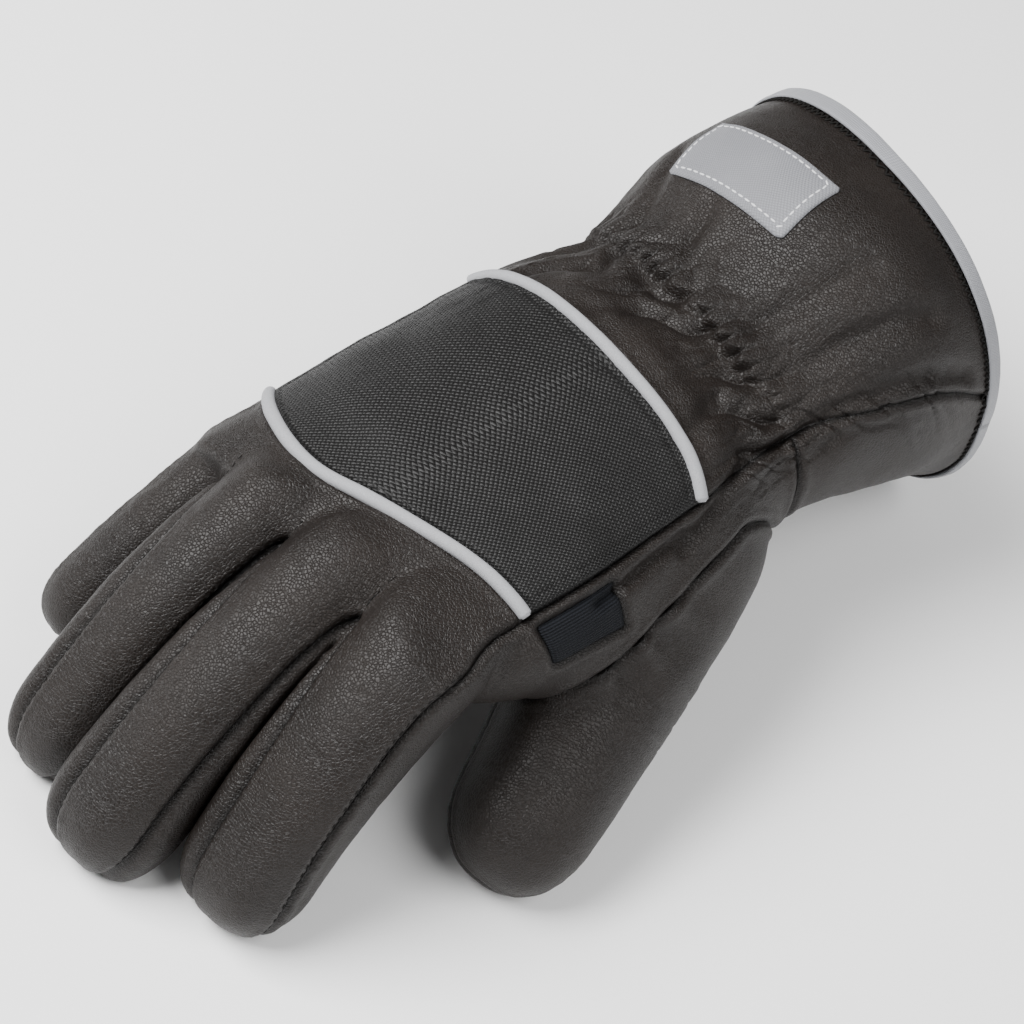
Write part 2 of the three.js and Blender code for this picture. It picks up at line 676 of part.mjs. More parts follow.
const hollows = [bodyHollow(), ...[...fingers, thumb].map(digitHollow)];
const hand = without(together([bodyOuter(0), ...fingers.map((finger) => digitOuter(finger, 0))]), hollows);
const noThumb = hand.subtract(regions.thumb(GAP));
const onThumb = without(digitOuter(thumb, 0), [...hollows, bodyHollow(ROOT_TRIM - WALL)]);
const beads = [regions.frontBead(GAP), regions.rearBead(GAP)];

// A region with its clearance, for cutting a neighbour back.
const cleared = (region) => region(0).add(region(GAP));
const pairs = [
  ["gusset_little_ring", little, ring],
  ["gusset_ring_middle", ring, middle],
  ["gusset_middle_index", middle, index],
];
const gussets = pairs.map(([, left, right]) => (grow) => regions.gusset(left, right, grow));
const backs = (grow) => {
  const fingerBacks = fingers.map((finger) => regions.fingerBack(finger, grow));
  return together([regions.strip(grow), ...fingerBacks]);
};
const cuffBack = noThumb.intersect(regions.cuffBack(0)).subtract(regions.guard(GAP));
const cuffPalm = noThumb.intersect(regions.cuff(0)).subtract(regions.cuffBack(GAP));
const guard = bodyOuter(GUARD_STEP).intersect(regions.guard(0));
const clearedGussets = gussets.map(cleared);
const back = noThumb.intersect(backs(0));
const palmCuts = [
  ...clearedGussets,
  cleared(backs),
  regions.guard(GAP),
  regions.cuffBack(GAP),
  regions.cuff(GAP),
  regions.patch(GAP),
  ...beads,
];

// The largest body of a piece, without the shavings that the seams leave loose between fingers.
function largest(piece) {
  return piece.decompose().reduce((best, body) => (body.volume() > best.volume() ? body : best));
}

const glove = new THREE.Group();

function addPiece(name, piece, finish) {
  const made = piece.getMesh();
  const geometry = new THREE.BufferGeometry();
  geometry.setAttribute("position", new THREE.BufferAttribute(new Float32Array(made.vertProperties), 3));
  geometry.setIndex(new THREE.BufferAttribute(new Uint32Array(made.triVerts), 1));
  geometry.computeVertexNormals();
  const mesh = new THREE.Mesh(geometry, new THREE.MeshStandardMaterial(finish));
  mesh.name = name;
  glove.add(mesh);
}

pairs.forEach(([name], i) => addPiece(name, noThumb.intersect(gussets[i](0)), LEATHER));
addPiece("back_panel", without(back, [...clearedGussets, regions.guard(GAP), beads[0]]), LEATHER);
addPiece("knuckle_guard", without(guard, [bodyHollow(), ...beads, regions.thumb(GAP)]), TEXTILE);
addPiece("front_piping", regions.frontBead(0), REFLECTIVE);
addPiece("rear_piping", regions.rearBead(0), REFLECTIVE);
addPiece("thumb_back", onThumb.intersect(regions.thumbBack(0)), LEATHER);
addPiece("thumb_front", onThumb.subtract(regions.thumbBack(GAP)), LEATHER);
addPiece("thumb_crotch_patch", noThumb.intersect(regions.patch(0)), KNIT);
addPiece("cuff_back", cuffBack.subtract(beads[1]), LEATHER);
addPiece("cuff_palm", cuffPalm, LEATHER);
addPiece("palm_panel", largest(without(noThumb, palmCuts)), LEATHER);
addPiece("rim_binding", rimBinding(), REFLECTIVE);
addPiece("label_patch", labelPatch(), REFLECTIVE);

// The origin is the middle of the glove's box, on the ground.
const box = new THREE.Box3().setFromObject(glove);
glove.position.set(-(box.min.x + box.max.x) / 2, -(box.min.y + box.max.y) / 2, -box.min.z);

export default glove;
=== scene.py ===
import math

import bpy
import numpy as np
from mathutils import Matrix, Vector
from mathutils.bvhtree import BVHTree
from mathutils.kdtree import KDTree


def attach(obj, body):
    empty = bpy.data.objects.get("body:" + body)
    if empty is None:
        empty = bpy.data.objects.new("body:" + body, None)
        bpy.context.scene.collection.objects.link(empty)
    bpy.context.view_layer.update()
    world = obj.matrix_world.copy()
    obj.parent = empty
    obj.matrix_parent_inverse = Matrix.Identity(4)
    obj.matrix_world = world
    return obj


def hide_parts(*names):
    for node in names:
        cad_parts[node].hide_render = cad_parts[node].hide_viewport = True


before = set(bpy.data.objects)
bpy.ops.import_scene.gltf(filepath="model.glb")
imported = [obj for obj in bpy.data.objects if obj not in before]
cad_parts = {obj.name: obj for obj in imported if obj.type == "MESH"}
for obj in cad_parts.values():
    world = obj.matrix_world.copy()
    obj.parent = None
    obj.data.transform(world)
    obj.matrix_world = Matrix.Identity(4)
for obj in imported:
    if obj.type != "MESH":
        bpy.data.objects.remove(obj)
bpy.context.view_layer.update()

# The glove's surface, by the same tables as the solids. Millimetres, in the solids' own frame,
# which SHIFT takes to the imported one.
SHIFT = np.array([-13.213, 54.636, 0.0])
CUFF_LENGTH = 79
HAND_LENGTH = 127
RIM_WIDTH = 114
RIM_HEIGHT = 111
WRIST_WIDTH = 98
WRIST_HEIGHT = 55
PALM_WIDTH = 113
PALM_HEIGHT = 62
FINGER_DEPTH = 34
THUMB_LENGTH = 108
THUMB_WIDTH = 43
THUMB_DEPTH = 40
SQUARENESS = 2.35
TIP_START = 0.8
ROOT_TAPER = 1.2
ROOT_CURL = 240
BINDING_WIDTH = 6
BINDING_THICKNESS = 1
LABEL_LENGTH = 46
LABEL_WIDTH = 24
PIPING_RADIUS = 1.9

# at, width, height, then their shares: half, above, below, shift; lift, lean, slant, roll
SECTION_ROWS = np.array([
    [1, RIM_WIDTH, RIM_HEIGHT, 0.5, 0.473, 0.547, -0.057, 0.533, -0.18, -0.07, -2],
    [0.52, RIM_WIDTH, RIM_HEIGHT, 0.492, 0.435, 0.36, -0.025, 0.577, -0.12, 0.07, 2],
    [0, WRIST_WIDTH, WRIST_HEIGHT, 0.5, 0.5, 0.495, 0, 0.568, -0.06, -0.01, 0],
    [-0.256, PALM_WIDTH, PALM_HEIGHT, 0.48, 0.485, 0.518, 0.01, 0.538, 0, -0.04, 1],
    [-0.822, PALM_WIDTH, PALM_HEIGHT, 0.5, 0.327, 0.419, 0.046, 0.509, -0.1, 0.16, 6],
    [-1, PALM_WIDTH, PALM_HEIGHT, 0.407, 0.19, 0.196, -0.006, 0.501, 0, 0.01, 0],
])
AT, WIDTHS, HEIGHTS, HALVES, ABOVE, BELOW, SHIFTS = SECTION_ROWS[:, :7].T
SECTIONS = np.column_stack([
    AT, HALVES * WIDTHS, ABOVE * HEIGHTS, BELOW * HEIGHTS, SHIFTS * WIDTHS, SECTION_ROWS[:, 7:],
])

FINGER_START = -0.25
# length, x, at, lift, half widths, half depths, yaw, curl, pitch
FINGERS = {
    "little": [73, -0.347, -0.852, 0.455, (0.097, 0.09), (0.447, 0.31), -4, 27, 22.76],
    "ring": [97, -0.154, -0.931, 0.553, (0.117, 0.107), (0.45, 0.35), 3.8, 39, 20.48],
    "middle": [101, 0.098, -0.94, 0.572, (0.129, 0.13), (0.47, 0.42), 4.7, 40, 19.44],
    "index": [91, 0.364, -0.905, 0.6, (0.147, 0.136), (0.46, 0.425), 8.5, 41, 27.91],
}
THUMB_START = -0.15
THUMB_PITCH = 20.39

# Long soft folds: at, angle, to at, to angle, half width, depth
FOLDS = [
    [0.14, 132, 0.46, 140, 0.07, -0.03],
    [0.14, 106, 0.3, 110, 0.06, -0.024],
    [0.12, 76, 0.5, 66, 0.08, -0.03],
    [0.1, 58, 0.62, 44, 0.08, -0.036],
    [0.08, 36, 0.75, 20, 0.07, -0.036],
    [-0.1, 128, -0.22, 134, 0.06, -0.03],
    [-0.1, 100, -0.2, 104, 0.06, -0.026],
    [-0.1, 66, -0.22, 60, 0.07, -0.03],
    [-0.1, 40, -0.34, 22, 0.07, -0.04],
    [-0.34, 28, -0.62, 24, 0.06, -0.04],
    [-0.17, 118, -0.17, 52, 0.1, 0.02],
]

# Seams on the body: angle and place, or place and angle
FRONT_LINE = np.array([[30, -0.8], [60, -0.8], [85, -0.83], [105, -0.86], [130, -0.81], [165, -0.71]])
REAR_LINE = np.array([[30, -0.28], [55, -0.25], [95, -0.255], [130, -0.27], [165, -0.3]])
SIDE_SEAM = np.array([[1, 8], [0.35, 22], [0.05, 35], [-0.3, 36]])
OUTER_SEAM = np.array([[-0.7, 158], [-0.82, 165], [-1, 185]])
SEAM_PLACES = [0, 0.15, 0.5, 1]
THUMB_SIDE_SEAM = [6, 28, 26, 18]
LITTLE_SIDE_SEAM = [174, 152, 128, 122]
INDEX_OUTER_SEAM = [20, 33, 26, 12]
LITTLE_OUTER_SEAM = 148
PALM_SEAMS = (-48, 228)
THUMB_SEAMS = (4, 196)
GUARD_ANGLES = (36, 158)
LABEL_ANGLE = 107
LABEL_AT = 0.495
PALM_SPLIT_AT = 0.02
PATCH_ENDS = (-0.57, -0.79)
PATCH_ANGLES = (3, 30)


def between(knots, values, x):
    """A smooth value between the rows of a table."""
    knots = np.asarray(knots, float)
    values = np.asarray(values, float)
    if knots[0] > knots[-1]:
        knots, values = knots[::-1], values[::-1]
    last = len(knots) - 1
    low = np.maximum(np.arange(last + 1) - 1, 0)
    high = np.minimum(np.arange(last + 1) + 1, last)
    slopes = (values[high] - values[low]) / (knots[high] - knots[low])
    x = np.asarray(x, float)
    i = np.clip(np.searchsorted(knots, x) - 1, 0, last - 1)
    step = knots[i + 1] - knots[i]
    s = np.clip((x - knots[i]) / step, 0, 1)
    rise = s * s * (3 - 2 * s)
    leave = s * (1 - s) ** 2 * step * slopes[i]
    arrive = s * s * (s - 1) * step * slopes[i + 1]
    return values[i] + (values[i + 1] - values[i]) * rise + leave + arrive


def place(at):
    at = np.asarray(at, float)
    return at * np.where(at > 0, CUFF_LENGTH, HAND_LENGTH)


ARC = np.radians(1) * PALM_WIDTH / 2
RIM_Y = float(place(1))
CROTCH_Y = float(place(-1))
SECTION_Y = place(SECTIONS[:, 0])
FLOOR_GAP = 0.3
PAST_RIM = 8
# How often the search for a point's place is refined
PLACE_ROUNDS = 8
DIGIT_ROUNDS = 14


def line_at(line, angle):
    return place(between(line[:, 0], line[:, 1], angle))


def side_seam(y):
    return between(place(SIDE_SEAM[:, 0]), SIDE_SEAM[:, 1], y)


def outer_seam(y):
    return between(place(OUTER_SEAM[:, 0]), OUTER_SEAM[:, 1], y)


def smoothstep(low, high, x):
    s = np.clip((x - low) / (high - low), 0, 1)
    return s * s * (3 - 2 * s)


def bell(x, width):
    return np.exp(-((x / width) ** 2))


def lowest(*values):
    return np.minimum.reduce(np.broadcast_arrays(*values))


def between_ends(x, ends, scale):
    """How far inside two ends a place is."""
    return np.minimum((x - ends[0]) * scale, (ends[1] - x) * scale)


def in_line(x):
    """Points on the first axis alone, for noise along one line."""
    return np.stack([x, 0 * x, 0 * x], -1)


def matched(*values):
    """The values as arrays of one shape."""
    return np.broadcast_arrays(*(np.asarray(value, float) for value in values))


def rolled(side, up, turn):
    return side * np.cos(turn) - up * np.sin(turn), up * np.cos(turn) + side * np.sin(turn)


def round_square(half_width, half_height, angle):
    c = np.cos(np.radians(angle))
    s = np.sin(np.radians(angle))
    power = 2 / SQUARENESS
    return half_width * np.sign(c) * np.abs(c) ** power, half_height * np.sign(s) * np.abs(s) ** power


def section_place(x, z, half_width, half_height):
    """A point's angle on a rounded-square section and its height off it."""
    u = np.abs(x / half_width) ** (SQUARENESS / 2)
    v = np.abs(z / half_height) ** (SQUARENESS / 2)
    angle = np.degrees(np.arctan2(v * np.sign(z), u * np.sign(x)))
    angle = np.where(angle < -90, angle + 360, angle)
    level = np.maximum((u ** 2 + v ** 2) ** (1 / SQUARENESS), 1e-6)
    return angle, (1 - 1 / level) * np.hypot(x, z)


def body_section(y):
    columns = [between(SECTION_Y, SECTIONS[:, k], y) for k in range(1, 9)]
    half, above, below, x, lift, lean, slant, roll = columns
    return half, above, below, x, lift * RIM_HEIGHT, lean, slant, np.radians(roll)


def body_point(y, angle, offset=0.0):
    y, angle, offset = matched(y, angle, offset)
    half, above, below, x0, z0, lean, slant, roll = body_section(y)
    height = np.where(np.sin(np.radians(angle)) >= 0, above, below)
    side, up = rolled(*round_square(half + offset, height + offset, angle), roll)
    floor = BINDING_THICKNESS + FLOOR_GAP - offset
    return np.stack([x0 + side, y + lean * up + slant * side, np.maximum(z0 + up, floor)], -1)


def body_place(points):
    """Each point's place along the body, its angle and its height off the smooth surface."""
    y = points[:, 1].copy()
    for _ in range(PLACE_ROUNDS):
        held = np.clip(y, CROTCH_Y, RIM_Y + PAST_RIM)
        half, above, below, x0, z0, lean, slant, roll = body_section(held)
        side = points[:, 0] - x0
        up = points[:, 2] - z0
        y = points[:, 1] - lean * up - slant * side
    held = np.clip(y, CROTCH_Y, RIM_Y + PAST_RIM)
    half, above, below, x0, z0, lean, slant, roll = body_section(held)
    side = points[:, 0] - x0
    up = points[:, 2] - z0
    x, z = rolled(side, up, -roll)
    angle, off = section_place(x, z, half, np.where(z >= 0, above, below))
    beyond = np.maximum(CROTCH_Y - y, 0)
    return y, angle, np.where(beyond > 0, np.hypot(np.maximum(off, 0), beyond), off)


class Digit:
    """A finger or the thumb: a path that curls and a section that tapers along it."""

    def __init__(self, length, base, start, widths, depths, yaw, turn, curl, roll, pitch):
        self.length = length
        self.start = start
        self.widths = widths
        self.depths = depths
        self.t = np.linspace(start - 0.1, 1.1, 1201)
        yaws = np.radians(yaw + turn * np.maximum(self.t, 0))
        pitches = np.radians(pitch + np.where(self.t > 0, curl, ROOT_CURL) * self.t)
        ahead = np.cos(pitches)
        self.forward = np.stack([np.sin(yaws) * ahead, -np.cos(yaws) * ahead, -np.sin(pitches)], -1)
        steps = 0.5 * (self.forward[1:] + self.forward[:-1]) * (self.t[1] - self.t[0]) * length
        path = np.vstack([np.zeros(3), np.cumsum(steps, 0)])
        zero = [np.interp(0, self.t, path[:, k]) for k in range(3)]
        self.centre = path - zero + base
        side = np.stack([np.cos(yaws), np.sin(yaws), 0 * yaws], -1)
        up = np.cross(self.forward, side)
        self.across, self.over = rolled(side, up, np.radians(roll))

    def read(self, values, t):
        return np.stack([np.interp(t, self.t, values[:, k]) for k in range(3)], -1)

    def half_sizes(self, t):
        knots = np.linspace(0, 1, len(self.widths))
        sunk = 1 + ROOT_TAPER * np.minimum(t, 0)
        ahead = np.maximum(t, 0)
        if len(knots) == 2:
            return sunk * np.interp(ahead, knots, self.widths), sunk * np.interp(ahead, knots, self.depths)
        return sunk * between(knots, self.widths, ahead), sunk * between(knots, self.depths, ahead)

    def tip_share(self, t):
        s = np.clip((t - TIP_START) / (1 - TIP_START), 0, 1)
        return (1 - s ** SQUARENESS) ** (1 / SQUARENESS)

    def point(self, t, angle, offset=0.0):
        t, angle, offset = matched(t, angle, offset)
        reach = np.where(t > 0, t * (1 + offset / self.length), t)
        wide, deep = self.half_sizes(t)
        share = self.tip_share(t)
        x, z = round_square((wide + offset) * share, (deep + offset) * share, angle)
        centre, across, over = (self.read(values, reach) for values in (self.centre, self.across, self.over))
        result = centre + across * x[..., None] + over * z[..., None]
        result[..., 2] = np.maximum(result[..., 2], -offset)
        return result

    def where(self, points):
        """Each point's share of the length, its angle and its height off the surface."""
        t = np.clip(-(points[:, 1] - self.centre[:, 1].max()) / self.length, 0, 0.9)
        for _ in range(DIGIT_ROUNDS):
            ahead = ((points - self.read(self.centre, t)) * self.read(self.forward, t)).sum(-1)
            t = np.clip(t + 0.8 * ahead / self.length, self.start, 1.0)
        off = points - self.read(self.centre, t)
        x = (off * self.read(self.across, t)).sum(-1)
        z = (off * self.read(self.over, t)).sum(-1)
        ahead = (off * self.read(self.forward, t)).sum(-1)
        wide, deep = self.half_sizes(t)
        share = np.maximum(self.tip_share(t), 0.25)
        angle, height = section_place(x, z, wide * share, deep * share)
        return t, angle, np.hypot(np.maximum(height, 0), ahead) + np.minimum(height, 0)


def finger(row):
    length, x, at, lift, widths, depths, yaw, curl, pitch = row
    base = np.array([x * PALM_WIDTH, float(place(at)), lift * RIM_HEIGHT])
    wide = [w * PALM_WIDTH for w in widths]
    deep = [d * FINGER_DEPTH for d in depths]
    return Digit(length, base, FINGER_START, wide, deep, yaw, 0, curl, 0, pitch)


fingers = {name: finger(row) for name, row in FINGERS.items()}
thumb = Digit(
    THUMB_LENGTH,
    np.array([0.287 * PALM_WIDTH, float(place(-0.225)), 0.459 * RIM_HEIGHT]),
    THUMB_START,
    [w * THUMB_WIDTH for w in (0.69, 0.505, 0.407)],
    [d * THUMB_DEPTH for d in (0.655, 0.497, 0.398)],
    36, -16, 5, 33, THUMB_PITCH,
)
digits = {**fingers, "thumb": thumb}


# Noise without a library: lattice values from an integer hash, joined smoothly.
def lattice(cell, seed):
    h = (cell[..., 0] * 73856093) ^ (cell[..., 1] * 19349663) ^ (cell[..., 2] * 83492791) ^ (seed * 2654435)
    h = (h ^ (h >> 13)) * 1274126177
    h = h & 0x7FFFFFFF
    return ((h ^ (h >> 16)) & 0xFFFFFF) / float(0xFFFFFF)


def noise(points, seed=0):
    """Smooth noise from -1 to 1, one cell long in each direction."""
    base = np.floor(points).astype(np.int64)
    f = points - base
    f = f * f * f * (f * (f * 6 - 15) + 10)
    total = 0
    for corner in range(8):
        step = np.array([corner & 1, (corner >> 1) & 1, corner >> 2])
        weight = np.prod(np.where(step, f, 1 - f), -1)
        total = total + weight * lattice(base + step, seed)
    return 2 * total - 1


CREASE_WIDTH = 0.18


def creases(points, seed=0):
    """Sharp valleys on a smooth ground, from 0 down to -1."""
    n = noise(points, seed)
    return -bell(n, CREASE_WIDTH)


# Triangle meshes as arrays
def grid_mesh(points):
    """A closed tube through rings, each end closed by a fan from its middle."""
    rows, count = points.shape[:2]
    verts = np.vstack([points.reshape(-1, 3), points[0].mean(0), points[-1].mean(0)])
    i, j = np.meshgrid(np.arange(rows - 1), np.arange(count), indexing="ij")
    a = (i * count + j).ravel()
    b = (i * count + (j + 1) % count).ravel()
    quads = np.stack([a, b, b + count, a + count], -1)
    ring = np.arange(count)
    after = (ring + 1) % count
    first = np.full(count, rows * count)
    last = (rows - 1) * count
    caps = [np.stack([first, after, ring], -1), np.stack([first + 1, last + ring, last + after], -1)]
    tris = np.vstack([quads[:, [0, 1, 2]], quads[:, [0, 2, 3]], *caps])
    return verts, tris


def closed(ring):
    return np.concatenate([ring, ring[:1]])


def stacked(meshes):
    """Several meshes as one."""
    starts = np.cumsum([0] + [len(verts) for verts, _ in meshes])
    tris = [tris + start for (_, tris), start in zip(meshes, starts)]
    return np.vstack([verts for verts, _ in meshes]), np.vstack(tris)


def new_object(name, verts, faces):
    mesh = bpy.data.meshes.new(name)
    mesh.from_pydata(np.asarray(verts).tolist(), [], np.asarray(faces).tolist())
    mesh.update()
    obj = bpy.data.objects.new(name, mesh)
    bpy.context.scene.collection.objects.link(obj)
    return obj


def union_surface(parts, voxel):
    """One surface round closed meshes that pass through each other."""
    obj = new_object("union", *stacked(parts))
    remesh = obj.modifiers.new("remesh", "REMESH")
    remesh.mode = "VOXEL"
    remesh.voxel_size = voxel
    made = obj.evaluated_get(bpy.context.evaluated_depsgraph_get()).to_mesh()
    made.calc_loop_triangles()
    verts = np.empty((len(made.vertices), 3), np.float32)
    made.vertices.foreach_get("co", verts.ravel())
    faces = np.empty((len(made.loop_triangles), 3), np.int32)
    made.loop_triangles.foreach_get("vertices", faces.ravel())
    obj.to_mesh_clear()
    bpy.data.objects.remove(obj)
    return verts.astype(float), faces.astype(np.int64)


def edges_of(tris):
    pairs = np.vstack([tris[:, [0, 1]], tris[:, [1, 2]], tris[:, [2, 0]]])
    return np.unique(np.sort(pairs, 1), axis=0)


def neighbour_sum(start, values, edges):
    """The start with the values of each point's neighbours added."""
    total = start.copy()
    for k in range(values.shape[1]):
        for here, there in ((0, 1), (1, 0)):
            total[:, k] += np.bincount(edges[:, here], values[edges[:, there], k], len(values))
    return total


def smoothed(values, edges, passes, strength=0.5, back=0.52):
    """Taubin smoothing, which keeps the volume."""
    degree = np.bincount(edges.ravel(), minlength=len(values))[:, None]
    result = values.copy()
    for step in range(2 * passes):
        share = strength if step % 2 == 0 else -back
        result += share * (neighbour_sum(np.zeros_like(result), result, edges) / degree - result)
    return result


def averaged(values, edges, passes):
    degree = np.bincount(edges.ravel(), minlength=len(values))[:, None] + 1
    result = values
    for _ in range(passes):
        result = neighbour_sum(result, result, edges) / degree
    return result


def unit(vectors):
    return vectors / np.maximum(np.linalg.norm(vectors, axis=-1, keepdims=True), 1e-12)


def vertex_normals(verts, tris):
    a, b, c = (verts[tris[:, k]] for k in range(3))
    face = np.cross(b - a, c - a)
    total = np.zeros_like(verts)
    for k in range(3):
        for axis in range(3):
            total[:, axis] += np.bincount(tris[:, k], face[:, axis], len(verts))
    return unit(total)


def split(data, tris, column, snap=0.06):
    """Cuts the triangles along the line where a column of the data changes its sign."""
    values = data[:, column]
    values = np.where(np.abs(values) < snap, 0.0, values)
    data = data.copy()
    data[:, column] = values
    pairs = np.stack([tris, np.roll(tris, -1, 1)], -1)
    crossing = values[pairs[..., 0]] * values[pairs[..., 1]] < 0
    keep = ~crossing.any(1)
    work = tris[~keep]
    if len(work) == 0:
        return data, tris
    work_pairs = np.sort(pairs[~keep], -1)
    work_crossing = crossing[~keep]
    cut, inverse = np.unique(work_pairs[work_crossing], axis=0, return_inverse=True)
    inverse = inverse.ravel()
    a, b = values[cut[:, 0]], values[cut[:, 1]]
    w = (a / (a - b))[:, None]
    fresh = (1 - w) * data[cut[:, 0]] + w * data[cut[:, 1]]
    fresh[:, column] = 0.0
    middle = np.full(work_crossing.shape, -1)
    middle[work_crossing] = inverse + len(data)
    count = work_crossing.sum(1)
    out = [tris[keep]]
    for number in (1, 2):
        chosen = count == number
        t, m, c = work[chosen], middle[chosen], work_crossing[chosen]
        turn = np.argmax(c, 1) if number == 1 else (np.argmin(c, 1) + 2) % 3
        order = (turn[:, None] + np.arange(3)) % 3
        t = np.take_along_axis(t, order, 1)
        m = np.take_along_axis(m, order, 1)
        third = t[:, 2] if number == 1 else m[:, 2]
        out.append(np.stack([t[:, 0], m[:, 0], third], -1))
        out.append(np.stack([m[:, 0], t[:, 1], t[:, 2]], -1))
        if number == 2:
            out.append(np.stack([m[:, 0], t[:, 2], m[:, 2]], -1))
    return np.vstack([data, fresh]), np.vstack(out)


def compact(data, tris):
    used = np.unique(tris)
    number = np.full(len(data), -1)
    number[used] = np.arange(len(used))
    return data[used], number[tris]


def border(tris):
    """The directed edges that only one triangle has."""
    pairs = np.vstack([tris[:, [0, 1]], tris[:, [1, 2]], tris[:, [2, 0]]])
    size = pairs.max() + 1
    code = pairs[:, 0] * size + pairs[:, 1]
    other = pairs[:, 1] * size + pairs[:, 0]
    return pairs[~np.isin(code, other)]


def biggest(tris, count):
    """The largest connected part of a mesh."""
    label = np.arange(count)
    edges = edges_of(tris)
    while True:
        low = np.minimum(label[edges[:, 0]], label[edges[:, 1]])
        fresh = label.copy()
        np.minimum.at(fresh, edges[:, 0], low)
        np.minimum.at(fresh, edges[:, 1], low)
        fresh = fresh[fresh]
        if np.array_equal(fresh, label):
            break
        label = fresh
    marks = label[tris[:, 0]]
    names, sizes = np.unique(marks, return_counts=True)
    return tris[marks == names[np.argmax(sizes)]]


# The smooth hand
VOXEL = 1.15
ROOT_HEIGHT = -1.2
ROOT_RISE = 0.6
ROOT_CURVE = 0.02


def root_excess(y, angle, off):
    """How far a point stands over the height that a finger may have behind the front seam."""
    ahead = np.maximum(line_at(FRONT_LINE, np.clip(angle, 30, 165)) - y - 1.0, 0)
    allowed = ROOT_HEIGHT + ROOT_RISE * ahead + ROOT_CURVE * ahead ** 2
    return (off - allowed) * smoothstep(0, 14, angle) * (1 - smoothstep(172, 186, angle))


def sunk_root(points):
    """A finger's points with its root pressed under the back of the hand behind the front seam."""
    y, angle, off = body_place(points)
    over = np.maximum(root_excess(y, angle, off), 0)
    _, _, _, x0, z0, _, _, _ = body_section(np.clip(y, CROTCH_Y, RIM_Y))
    out = np.stack([points[:, 0] - x0, 0 * y, points[:, 2] - z0], -1)
    return points - unit(out) * over[:, None]


rows = np.concatenate([np.linspace(RIM_Y + 5, 30, 24), np.linspace(28, CROTCH_Y, 78)])
around = np.linspace(0, 360, 145)[:-1]
parts = [grid_mesh(body_point(rows[:, None], around[None, :]))]
for digit in digits.values():
    places = np.concatenate([
        np.linspace(digit.start, TIP_START, 48),
        TIP_START + (1 - TIP_START) * np.sin(np.radians(np.linspace(6, 89.5, 15))),
    ])
    turn = np.linspace(0, 360, 73)[:-1]
    verts, tris = grid_mesh(digit.point(places[:, None], turn[None, :]))
    parts.append((verts if digit is thumb else sunk_root(verts), tris))
base_verts, base_tris = union_surface(parts, VOXEL)
base_edges = edges_of(base_tris)
base_verts = smoothed(base_verts, base_edges, 8)
base_verts[:, 2] = np.maximum(base_verts[:, 2], 0)


def coordinates(points):
    """The place of each point on the body and on each digit, and what it belongs to."""
    c = {"body": body_place(points)}
    excess = root_excess(*c["body"])
    for name, digit in digits.items():
        t, turn, off = digit.where(points)
        c[name] = (t, turn, off if digit is thumb else np.where(excess > 0, np.maximum(off, excess), off))
    return c


# Drawing the leather taut: how often, how far at a time, and the share of it that a crest gives way
SPAN_PASSES = 260
SPAN_PULL = 0.7
SPAN_SAG = 0.1
FORK_FRONT = (-0.92, -0.86)


def root_weight(c):
    """Where the leather is drawn taut between the fingers' roots."""
    y, angle, _ = c["body"]
    offs = np.array([c[name][2] for name in fingers])
    shares = np.array([c[name][0] for name in fingers])
    t = np.take_along_axis(shares, np.argmin(offs, 0)[None], 0)[0]
    ahead = line_at(FRONT_LINE, np.clip(angle, 30, 165)) - y
    weight = smoothstep(-2.5, 1.0, ahead) * (1 - smoothstep(-0.01, 0.11, t)) * smoothstep(20, 38, angle)
    return weight * (1 - smoothstep(150, 172, angle)) * smoothstep(1.0, 4.0, c["thumb"][2])


def fork_weight(c):
    """Where the leather is drawn taut between the hand and the upper side of the thumb's root."""
    y, angle, off = c["body"]
    hand = np.minimum(off, c["index"][2])
    farther = np.maximum(hand, c["thumb"][2])
    weight = (1 - smoothstep(9.0, 16.0, farther)) * smoothstep(-34, -18, angle)
    weight *= 1 - smoothstep(26, 35, angle)
    return weight * smoothstep(*place(FORK_FRONT), y)


def spanned(verts, tris, edges, weight):
    """The surface with its leather drawn taut over a valley."""
    near = weight[edges].max(1) > 0
    used, local = np.unique(edges[near], return_inverse=True)
    local = local.reshape(-1, 2)
    result = verts[used].copy()
    held = weight[used][:, None]
    up = unit(averaged(vertex_normals(verts, tris), edges, 6)[used])
    degree = np.maximum(np.bincount(local.ravel(), minlength=len(used)), 1)[:, None]
    for _ in range(SPAN_PASSES):
        mean = neighbour_sum(np.zeros_like(result), result, local) / degree
        step = ((mean - result) * up).sum(1, keepdims=True)
        result += SPAN_PULL * held * np.maximum(step, SPAN_SAG * step) * up
    out = verts.copy()
    out[used] = result
    return out


def refined(verts, tris, chosen):
    """The same surface with the edges between chosen points halved."""
    pairs = np.stack([tris, np.roll(tris, -1, 1)], -1)
    halve = chosen[pairs].all(-1)
    cut, inverse = np.unique(np.sort(pairs[halve], -1), axis=0, return_inverse=True)
    middle = np.full(halve.shape, -1)
    middle[halve] = inverse.ravel() + len(verts)
    count = halve.sum(1)
    out = [tris[count == 0]]
    t, m = tris[count == 1], middle[count == 1]
    order = (np.argmax(halve[count == 1], 1)[:, None] + np.arange(3)) % 3
    t, m = np.take_along_axis(t, order, 1), np.take_along_axis(m, order, 1)
    out += [np.stack([t[:, 0], m[:, 0], t[:, 2]], -1), np.stack([m[:, 0], t[:, 1], t[:, 2]], -1)]
    t, m = tris[count == 3], middle[count == 3]
    out.append(m)
    out += [np.stack([t[:, k], m[:, k], m[:, k - 1]], -1) for k in range(3)]
    return np.vstack([verts, verts[cut].mean(1)]), np.vstack(out)


GATHERS_REACH = 15


